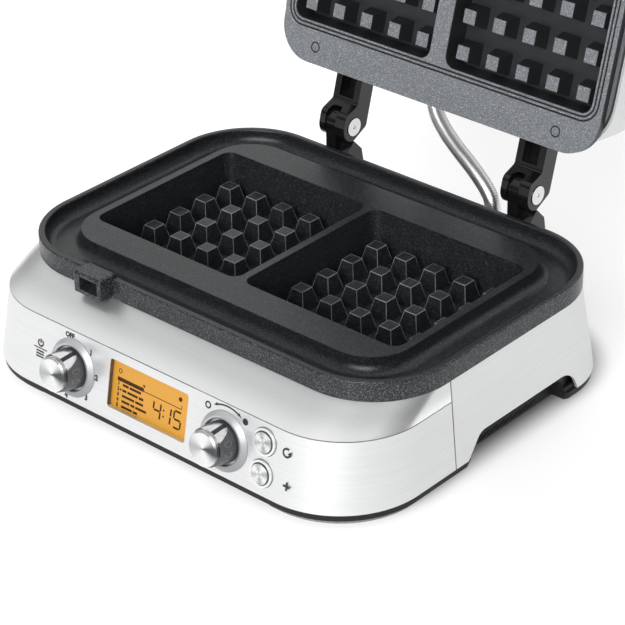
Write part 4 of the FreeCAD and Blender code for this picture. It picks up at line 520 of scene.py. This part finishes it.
# The display's backlight and window
amber = {"colour": (0.78, 0.40, 0.045), "dim": 0.86, "paint": (0.30, 0.13, 0.015), "glow": 0.62,
         "rough": 0.45, "cloud": 28.0, "cloudSpread": 0.1, "cloudShare": 0.3, "lampRise": 0.6,
         "lampShift": 20.0, "lampGain": 9.0}
glass = {"tint": (0.05, 0.045, 0.04), "haze": 35.0, "rough": 0.04, "roughSpread": 0.05, "cover": 0.03,
         "coverSpread": 0.03}


def amberGlow(name, look):
    # backlight a little stronger near the lamp's side
    shade = Shade(name)
    cloud = shade.noise(look["cloud"], detail=2.0)
    side, _, rise = shade.parts(shade.place)
    lamp = (side + rise * look["lampRise"] + look["lampShift"] * mm) * look["lampGain"]
    glow = shade.mix(lamp + look["cloudShare"] * (cloud - 0.5), tinted(look["colour"], look["dim"]),
                     look["colour"])
    return shade.surface({"Base Color": rgba(look["paint"]), "Emission Color": glow,
                          "Roughness": look["rough"] + look["cloudSpread"] * cloud,
                          "Emission Strength": look["glow"]})


def clearWindow(name, look):
    shade = Shade(name)
    haze = shade.noise(look["haze"], detail=3.0)
    return shade.surface({"Base Color": rgba(look["tint"]),
                          "Roughness": look["rough"] + look["roughSpread"] * haze,
                          "Alpha": look["cover"] + look["coverSpread"] * haze})


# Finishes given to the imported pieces

def give(material, *names):
    for name in names:
        slots = nodes[name].data.materials
        slots.clear()
        slots.append(material)


alongSide = (1, 0, 0)
give(brushedSteel("brushedFascia", steel, paintedRecessShade=recess), "control_fascia")
give(brushedSteel("brushedSteelWrap", steel), "rear_housing")
give(brushedSteel("brushedDeck", deckSteel, alongSide, foot=paintedDeckLight), "top_deck")
give(brushedSteel("brushedLidCover", steel, alongSide), "lid_cover")
give(brushedSteel("handleSteel", steel, alongSide), "lid_handle")
give(plateCoating("plateCoating", coating), "lower_cooking_plate")
give(plateCoating("litUpperPlateCoating", litUpperCoating), "upper_cooking_plate")
give(mouldedPlastic("blackMoulding", (0.009, 0.009, 0.010), gloss=0.22), "base_tray", "rear_bridge",
     "handle_arms", "cord_gland", "conduit_gland_base", "conduit_gland_lid", "latch_lever", "terminal_block")
give(mouldedPlastic("lidFramePaint", (0.10, 0.103, 0.108), rough=0.5, grain=1200.0), "lid_frame")
give(mouldedPlastic("knobBlack", (0.06, 0.063, 0.07), rough=0.34, grain=900.0, strength=0.12),
     "menu_knob", "browning_knob")
give(mouldedPlastic("hingePaint", (0.003, 0.003, 0.0034), rough=0.14, grain=1100.0, strength=0.08),
     "hinge_bracket_left", "hinge_bracket_right", "hinge_arm_left", "hinge_arm_right")
give(mouldedPlastic("footRubber", (0.2, 0.205, 0.215), rough=0.62, grain=800.0), "foot_pads")
give(mouldedPlastic("fuseGlaze", (0.78, 0.76, 0.68), rough=0.25, grain=300.0), "thermal_fuse")
give(mouldedPlastic("boardMask", (0.02, 0.12, 0.05), rough=0.35, grain=500.0), "control_board", "power_board")
give(mouldedPlastic("switchShell", (0.03, 0.03, 0.032), rough=0.45, grain=900.0), "menu_switch",
     "browning_encoder", "restart_tact_switch", "extra_time_tact_switch")
give(brightMetal("pinSteel", (0.8, 0.8, 0.81)), "hinge_pin_left", "hinge_pin_right", "latch_pin",
     "menu_shaft", "browning_shaft", "plate_screws", "tray_screws", "arm_screws")
give(brightMetal("pointerSilver", (0.84, 0.843, 0.85), rough=0.24), "menu_pointer", "browning_pointer")
give(brightMetal("elementSteel", (0.3, 0.28, 0.26), rough=0.42), "lower_heating_element",
     "upper_heating_element", "temperature_sensor", "lid_sensor")
give(brightMetal("shieldSheet", (0.72, 0.73, 0.74), rough=0.3), "lower_heat_shield", "upper_heat_shield")
for name, dial in (("menu", menuDial), ("browning", browningDial)):
    give(spunMetal(name + "CapSpun", dial["x"], dial["drop"], capSpun), name + "_knob_cap")
    give(spunMetal(name + "BezelSatin", dial["x"], dial["drop"], bezelSatin), name + "_bezel")
give(spunMetal("restartSpun", buttons["x"], buttons["upperDrop"], buttonSpun), "restart_button")
give(spunMetal("extraTimeSpun", buttons["x"], buttons["lowerDrop"], buttonSpun), "extra_time_button")
give(spunMetal("buttonRingSpun", buttons["x"], buttons["upperDrop"], ringSpun), "button_ring_upper",
     "button_ring_lower")
amberLight = amberGlow("amberBacklight", amber)
give(amberLight, "display_module")
give(clearWindow("displayGlass", glass), "display_window")
conduitSteel = conduitMetal("conduitSteel", conduit)
conduitPiece.data.materials.append(conduitSteel)
give(conduitSteel, "wiring_conduit")
gripSilver = brightMetal("gripSilver", (0.24, 0.245, 0.255), rough=0.3)
markInk = mouldedPlastic("markInk", (0.012, 0.012, 0.013), rough=0.5, grain=2200.0, strength=0.1)
segmentInk = mouldedPlastic("segmentInk", (0.045, 0.014, 0.003), rough=0.5, grain=2200.0, strength=0.1,
                            gloss=0.1)
print("finishes given")


# Printed marks: flat prisms in the console's frame between two levels, in millimetres

def inkStroke(path, width, levels, closed=False):
    # a bar along the path: path + a * normal, a from -width / 2 to width / 2, at the low and the high level
    line = np.asarray(path, float)
    heading = np.roll(line, -1, 0) - np.roll(line, 1, 0) if closed else np.gradient(line, axis=0)
    heading /= np.linalg.norm(heading, axis=1, keepdims=True)
    normal = np.column_stack((-heading[:, 1], heading[:, 0]))
    offset = np.array([-0.5, 0.5, 0.5, -0.5]) * width
    sides = line[:, None] + normal[:, None] * offset[None, :, None]
    heights = np.broadcast_to(np.repeat(levels, 2)[None, :, None], (len(line), 4, 1))
    faces = gridFaces(len(line), 4, wrapRows=True, wrapColumns=True) if closed else barFaces(len(line))
    return meshOf("inkStroke", np.concatenate((sides, heights), axis=2), faces, False)


def inkPatch(rim, levels):
    # a prism: a convex outline at the low level and again at the high one, with a wall between
    flat = np.asarray(rim, float)
    count = len(flat)
    points = np.column_stack((np.vstack((flat, flat)), np.repeat(levels, count)))
    step = np.arange(count)
    following = (step + 1) % count
    walls = np.column_stack((following, step, step + count, following + count)).tolist()
    ends = [step.tolist(), (step + count)[::-1].tolist()]
    return meshOf("inkPatch", points, walls + ends, False)


def inkText(words, size, x, y, levels):  # figures centred on a point, drawn a little bolder
    low, high = levels
    data = bpy.data.curves.new("inkText", "FONT")
    data.body = words
    data.size = size
    data.align_x = "CENTER"
    data.align_y = "CENTER"
    data.extrude = (high - low) / 2
    data.offset = size * marks["bolder"]
    data.resolution_u = 3
    carrier = bpy.data.objects.new("inkText", data)
    mesh = bpy.data.meshes.new_from_object(carrier)
    bpy.data.objects.remove(carrier)
    bpy.data.curves.remove(data)
    mesh.transform(Matrix.Translation((x, y, (high + low) / 2)))
    return mesh


def arc(x, y, radius, start, end, steps=17):  # centre + radius * (cos, sin), in degrees from the right
    turn = np.radians(np.linspace(start, end, steps))
    return np.column_stack((x + radius * np.cos(turn), y + radius * np.sin(turn)))


def ring(x, y, radius, steps=28):
    return arc(x, y, radius, 0, 360, steps + 1)[:-1]


def oblong(x, y, width, height):
    left, right, low, high = x - width / 2, x + width / 2, y - height / 2, y + height / 2
    return [(left, low), (right, low), (right, high), (left, high)]


def arrowTip(tip, heading, length, width):  # a triangle, its heading in degrees
    forward = np.array((math.cos(math.radians(heading)), math.sin(math.radians(heading))))
    across = np.array((-forward[1], forward[0]))
    tail = np.asarray(tip, float) - forward * length
    return [tail - across * width / 2, np.asarray(tip, float), tail + across * width / 2]


marks = {"levels": (-0.03, 0.05), "bolder": 0.065, "line": 1.0}
dialSigns = {"words": ("OFF", "1", "2", "3", "4", "5"), "sizes": (4.05, 4.5, 4.5, 4.5, 4.5, 4.5),
             "turns": (104.0, 46.5, 1.0, -50.0, -101.5, -153.0), "reach": 18.9}
menuSign = {"place": (-88.5, -20.3), "powerRise": 3.4, "powerRadius": 2.0, "powerSweep": (125, 415, 25),
            "stemTop": 6.0, "line": 1.1, "ruleHalf": 5.4, "ruleLine": 0.7, "barHalf": 3.2, "barLine": 1.05,
            "barDrops": (1.8, 3.5, 5.2)}
browningSign = {"reach": 20.6, "sweep": (113, 65), "tips": ((119, 209), (59, -31)), "tip": (3.0, 2.0),
                "pale": (43.2, -6.0, 1.75), "dark": (70.8, -5.8, 2.0)}
buttonSign = {"again": (101.6, -12.2), "radius": 2.4, "sweep": (60, 350, 25), "line": 1.1,
              "tipPlace": (3.15, 1.4), "tipHeading": 62, "tip": (2.6, 2.8),
              "more": (104.0, -31.2), "arm": 2.5, "armLine": 1.15, "uprightShare": 0.96}


def dialMarks(look, levels):
    turn = np.radians(look["turns"])
    x = menuDial["x"] + look["reach"] * np.cos(turn)
    y = -menuDial["drop"] + look["reach"] * np.sin(turn)
    return [inkText(*sign, levels) for sign in zip(look["words"], look["sizes"], x, y)]


def menuMarks(look, levels):  # a power sign over a rule, and three bars under it
    x, y = look["place"]
    middle, half, barHalf = y + look["powerRise"], look["ruleHalf"], look["barHalf"]
    parts = [inkStroke(arc(x, middle, look["powerRadius"], *look["powerSweep"]), look["line"], levels),
             inkStroke([(x, middle), (x, y + look["stemTop"])], look["line"], levels),
             inkStroke([(x - half, y), (x + half, y)], look["ruleLine"], levels)]
    for drop in look["barDrops"]:
        parts.append(inkStroke([(x - barHalf, y - drop), (x + barHalf, y - drop)], look["barLine"], levels))
    return parts


def browningMarks(look, levels):  # a pale and a dark swatch, and an arc between them with a head at each end
    x, y, reach, line = browningDial["x"], -browningDial["drop"], look["reach"], marks["line"]
    parts = [inkStroke(arc(x, y, reach, *look["sweep"]), line, levels)]
    for bearing, heading in look["tips"]:
        end = arc(x, y, reach, bearing, bearing, 1)[0]
        parts.append(inkPatch(arrowTip(end, heading, *look["tip"]), levels))
    return parts + [inkStroke(ring(*look["pale"]), line, levels, True), inkPatch(ring(*look["dark"]), levels)]


def buttonMarks(look, levels):  # a turning arrow beside the upper button, a plus beside the lower one
    x, y = look["again"]
    plusX, plusY = look["more"]
    tipX, tipY = look["tipPlace"]
    arm, low, high = look["arm"], *levels
    upright = (low, high * look["uprightShare"])  # so that the two bars' faces don't lie in one plane
    return [inkStroke(arc(x, y, look["radius"], *look["sweep"]), look["line"], levels),
            inkPatch(arrowTip((x + tipX, y + tipY), look["tipHeading"], *look["tip"]), levels),
            inkStroke([(plusX - arm, plusY), (plusX + arm, plusY)], look["armLine"], levels),
            inkStroke([(plusX, plusY - arm), (plusX, plusY + arm)], look["armLine"], upright)]


def placeMarks(name, parts, material):
    mesh = joinMeshes(name, parts)
    mesh.transform(consoleMatrix())
    return makePiece(name, mesh, material, "base")


placeMarks("dialFigures", dialMarks(dialSigns, marks["levels"]), markInk)
placeMarks("menuSigns", menuMarks(menuSign, marks["levels"]), markInk)
placeMarks("browningSigns", browningMarks(browningSign, marks["levels"]), markInk)
placeMarks("buttonSigns", buttonMarks(buttonSign, marks["levels"]), markInk)
print("console marks printed")

# What the display shows, on a thin amber sheet: a gauge, a list with its marker, and a time
display = {"sheet": (-1.95, -20.6, 64.4, 33.0), "sheetLevels": (-4.41, -4.38), "levels": (-4.39, -4.33),
           "gauge": (-29.8, -9.1, -18.3, 2.3), "gaugeTip": (1.7, 2.2), "gaugeTipGap": 0.2,
           "line": (-9.1, 20.4, -18.9, 0.45), "lineEnd": 2.3,
           "pale": (-28.0, -13.3, 1.2), "dark": (19.0, -13.3, 1.35), "signLine": 0.45,
           "firstRow": -21.1, "rowStep": 3.3, "figureX": -28.6, "figure": 2.9, "barX": -25.4,
           "bars": ((4.6, 9.0), (3.2, 8.2, 3.6), (9.8, 6.2), (6.4, 3.0, 8.6), (8.6, 3.4)), "barGap": 0.8,
           "barLine": 1.5, "pick": 1, "pickGap": 0.35, "pickTip": (1.5, 1.9)}
clock = {"time": "415", "places": (-1.0, 6.9, 14.8), "top": -21.3, "height": 10.2, "width": 5.4,
         "stroke": 1.2, "gapShare": 0.35, "slant": 0.06, "colonX": 7.2, "colon": 1.1,
         "colonShares": (0.32, 0.68)}
figureParts = {"0": "abcdef", "1": "bc", "2": "abged", "3": "abgcd", "4": "fgbc", "5": "afgcd", "6": "afgedc",
               "7": "abc", "8": "abcdefg", "9": "abcdfg"}


def timeFigure(figure, x, look, levels):  # a slanted figure of up to seven bars, lettered round from the top
    top, foot, width = look["top"], look["top"] - look["height"], look["width"]
    middle, gap = top - look["height"] / 2, look["stroke"] * look["gapShare"]
    ends = {"a": ((0, top), (width, top)), "b": ((width, top), (width, middle)),
            "c": ((width, middle), (width, foot)), "d": ((0, foot), (width, foot)),
            "e": ((0, middle), (0, foot)), "f": ((0, top), (0, middle)), "g": ((0, middle), (width, middle))}
    strokes = []
    for part in figureParts[figure]:
        start, end = np.array(ends[part], float)
        heading = (end - start) / np.linalg.norm(end - start)
        line = np.array((start + heading * gap, end - heading * gap))
        line[:, 0] += x + look["slant"] * (line[:, 1] - foot)
        strokes.append(inkStroke(line, look["stroke"], levels))
    return strokes


def timeShown(look, levels):
    parts = []
    for figure, x in zip(look["time"], look["places"]):
        parts += timeFigure(figure, x, look, levels)
    for share in look["colonShares"]:
        dot = oblong(look["colonX"], look["top"] - look["height"] * share, look["colon"], look["colon"])
        parts.append(inkPatch(dot, levels))
    return parts


def listShown(look, levels):  # a number and a few bars on each row, and a marker on the picked one
    parts = []
    for row, bars in enumerate(look["bars"]):
        rise = look["firstRow"] - row * look["rowStep"]
        parts.append(inkText(str(row + 1), look["figure"], look["figureX"], rise, levels))
        starts = np.cumsum([0.0] + [bar + look["barGap"] for bar in bars]) + look["barX"]
        for start, bar in zip(starts, bars):
            parts.append(inkStroke([(start, rise), (start + bar, rise)], look["barLine"], levels))
        if row == look["pick"]:
            tip = (look["barX"] - look["pickGap"], rise)
            parts.append(inkPatch(arrowTip(tip, 0, *look["pickTip"]), levels))
    return parts


def gaugeShown(look, levels):  # a thick bar with a pointer, a fine line on from it, and a swatch at each end
    left, right, rise, thick = look["gauge"]
    start, end, level, fine = look["line"]
    tip = (right, rise + thick / 2 + look["gaugeTipGap"])
    return [inkStroke([(left, rise), (right, rise)], thick, levels),
            inkPatch(arrowTip(tip, -90, *look["gaugeTip"]), levels),
            inkStroke([(start, level), (end, level)], fine, levels),
            inkStroke([(end, level), (end, level + look["lineEnd"])], fine, levels),
            inkStroke(ring(*look["pale"]), look["signLine"], levels, True),
            inkPatch(ring(*look["dark"]), levels)]


displaySheet = [inkPatch(oblong(*display["sheet"]), display["sheetLevels"])]
displayFigures = gaugeShown(display, display["levels"]) + listShown(display, display["levels"])
displayFigures += timeShown(clock, display["levels"])
placeMarks("displaySheet", displaySheet, amberLight)
placeMarks("displayFigures", displayFigures, segmentInk)
print("display drawn")

# Knob details: a black line on each pointer and a row of grip rims round each knob
knob = {"base": 24.2, "neck": 22.4, "foot": 3.0, "top": 14.2}
pointer = {"near": 8.9, "lean": 19.5, "width": 2.8, "low": 3.6, "high": 13.2, "rows": 12, "sink": 0.12,
           "proud": 0.06}
grip = {"count": 10, "first": 52.0, "step": 28.44, "length": 4.8, "width": 2.5, "rim": 0.34, "middle": 8.6,
        "proudShare": 0.55, "outlineSteps": 32, "tubeSteps": 8}


def coneReach(look, rise):  # radius of the knob's cone at a height
    share = (rise - look["foot"]) / (look["top"] - look["foot"])
    return (look["base"] + (look["neck"] - look["base"]) * share) / 2


def pointerLine(look, dial):
    # a bar carried up the knob, out to the lesser of the cone and the flat: near + (top - rise) * tan(lean)
    rise = np.linspace(look["low"], look["high"], look["rows"])
    flat = look["near"] + (knob["top"] - rise) * math.tan(math.radians(look["lean"]))
    depth = np.array([-look["sink"], -look["sink"], look["proud"], look["proud"]])
    reach = np.minimum(flat, coneReach(knob, rise))[:, None] + depth
    across = np.broadcast_to(np.array([-0.5, 0.5, 0.5, -0.5]) * look["width"], reach.shape)
    points = np.stack((across, reach, np.broadcast_to(rise[:, None], reach.shape)), -1)
    mesh = meshOf("pointerLine", points, barFaces(look["rows"]), False)
    mesh.transform(Matrix.Rotation(-math.radians(dial["rest"]), 4, "Z"))
    return joinMeshes("pointerLine", [mesh])


def gripRims(look, dial):
    # a round rim carried along a long hole's outline, wrapped on the knob's cone at each grip's angle
    half, rim = look["width"] / 2, look["rim"]
    straight = look["length"] / 2 - half
    turn = np.linspace(0, 2 * np.pi, look["outlineSteps"], endpoint=False)[:, None]
    tube = np.linspace(0, 2 * np.pi, look["tubeSteps"], endpoint=False)
    wide = np.cos(turn) * (half + rim * np.cos(tube))
    tall = look["middle"] + np.sign(np.sin(turn)) * straight + np.sin(turn) * (half + rim * np.cos(tube))
    reach = coneReach(knob, tall) + rim * look["proudShare"] * np.sin(tube)
    angle = np.radians(90 - dial["rest"] - look["first"] - look["step"] * np.arange(look["count"]))
    bearing = angle[:, None, None] + wide / reach
    height = np.broadcast_to(tall, bearing.shape)
    points = np.stack((reach * np.cos(bearing), reach * np.sin(bearing), height), -1)
    one = np.array(gridFaces(look["outlineSteps"], look["tubeSteps"], wrapRows=True, wrapColumns=True))
    shift = np.arange(look["count"]) * look["outlineSteps"] * look["tubeSteps"]
    faces = (one[None] + shift[:, None, None]).reshape(-1, 4).tolist()
    return joinMeshes("gripRims", [meshOf("gripRims", points, faces)])


knobDetails = (("PointerLine", pointerLine, pointer, markInk), ("GripRims", gripRims, grip, gripSilver))
for name, dial in (("menu", menuDial), ("browning", browningDial)):
    for part, shape, look, material in knobDetails:
        mesh = shape(look, dial)
        mesh.transform(consoleMatrix(dial["x"], dial["drop"]))
        mesh.name = name + part
        makePiece(name + part, mesh, material, name + "_dial")
print("knobs detailed")

# Floor and studio light: soft boxes as lobes of the world, each an axis, a strength and two cosines
studio = {"floorHalf": 6.0, "floor": (0.5, 0.5, 0.5), "paler": 1.02, "cloud": 3.0, "rough": 0.6, "glow": 0.63,
          "middle": (0.002, 0.002), "under": (0.142, 0.124, 0.06), "fade": (-0.012, 0.016),
          "shadow": (0.03, 0.03, 0.033), "dimWay": (0.75, 0.66), "dimRange": (0.0, 0.13), "dimShare": 0.2,
          "ambient": 0.12,
          "boxes": (((0.28, -0.82, 0.44), 6.2, 0.88, 0.97), ((0.25, 0.60, 0.76), 0.88, 0.70, 0.93),
                    ((-0.58, -0.19, 0.79), 0.58, 0.74, 0.95), ((0.12, -0.06, 0.98), 0.36, 0.82, 0.97),
                    ((-0.63, 0.62, 0.46), 0.85, 0.80, 0.95))}


def floorPaper(look):
    # the paper is lit from below, but not under the object, and less to the right and behind
    shade = Shade("floorPaper")
    cloud = shade.noise(look["cloud"])
    side, forward, _ = shade.parts(shade.place)
    x, y = look["middle"]
    lit = (0.0 - boxInset(side - x, forward - y, *look["under"])).steps(*look["fade"])
    sideShare, forwardShare = look["dimWay"]
    away = (sideShare * side + forwardShare * forward).steps(*look["dimRange"])
    paper = shade.mix(cloud, look["floor"], tinted(look["floor"], look["paler"]))
    glow = shade.mix(lit * (1 - look["dimShare"] * away), 0.0, 1.0)
    return shade.surface({"Base Color": shade.mix(lit, look["shadow"], paper), "Roughness": look["rough"],
                          "Emission Color": glow, "Emission Strength": look["glow"]})


def makeStudio(look):
    corners = oblong(0, 0, 2 * look["floorHalf"], 2 * look["floorHalf"])
    floorMesh = meshOf("studioFloor", np.column_stack((corners, np.zeros(4))), [(0, 1, 2, 3)])
    floorMesh.materials.append(floorPaper(look))
    floor = bpy.data.objects.new("studioFloor", floorMesh)
    bpy.context.scene.collection.objects.link(floor)
    sky = Shade("studioWorld", bpy.data.worlds, "Generated")
    light = look["ambient"]
    for axis, strength, dim, full in look["boxes"]:
        facing = sky.add("ShaderNodeVectorMath", {"operation": "DOT_PRODUCT"},
                         {0: sky.place, 1: Vector(axis).normalized()}, out="Value")
        light = facing.steps(dim, full) * strength + light
    bpy.context.scene.world = sky.surface({"Color": (1, 1, 1, 1), "Strength": light},
                                          "ShaderNodeBackground", "ShaderNodeOutputWorld")


makeStudio(studio)
bpy.context.scene.view_settings.view_transform = "Standard"
print("studio set")
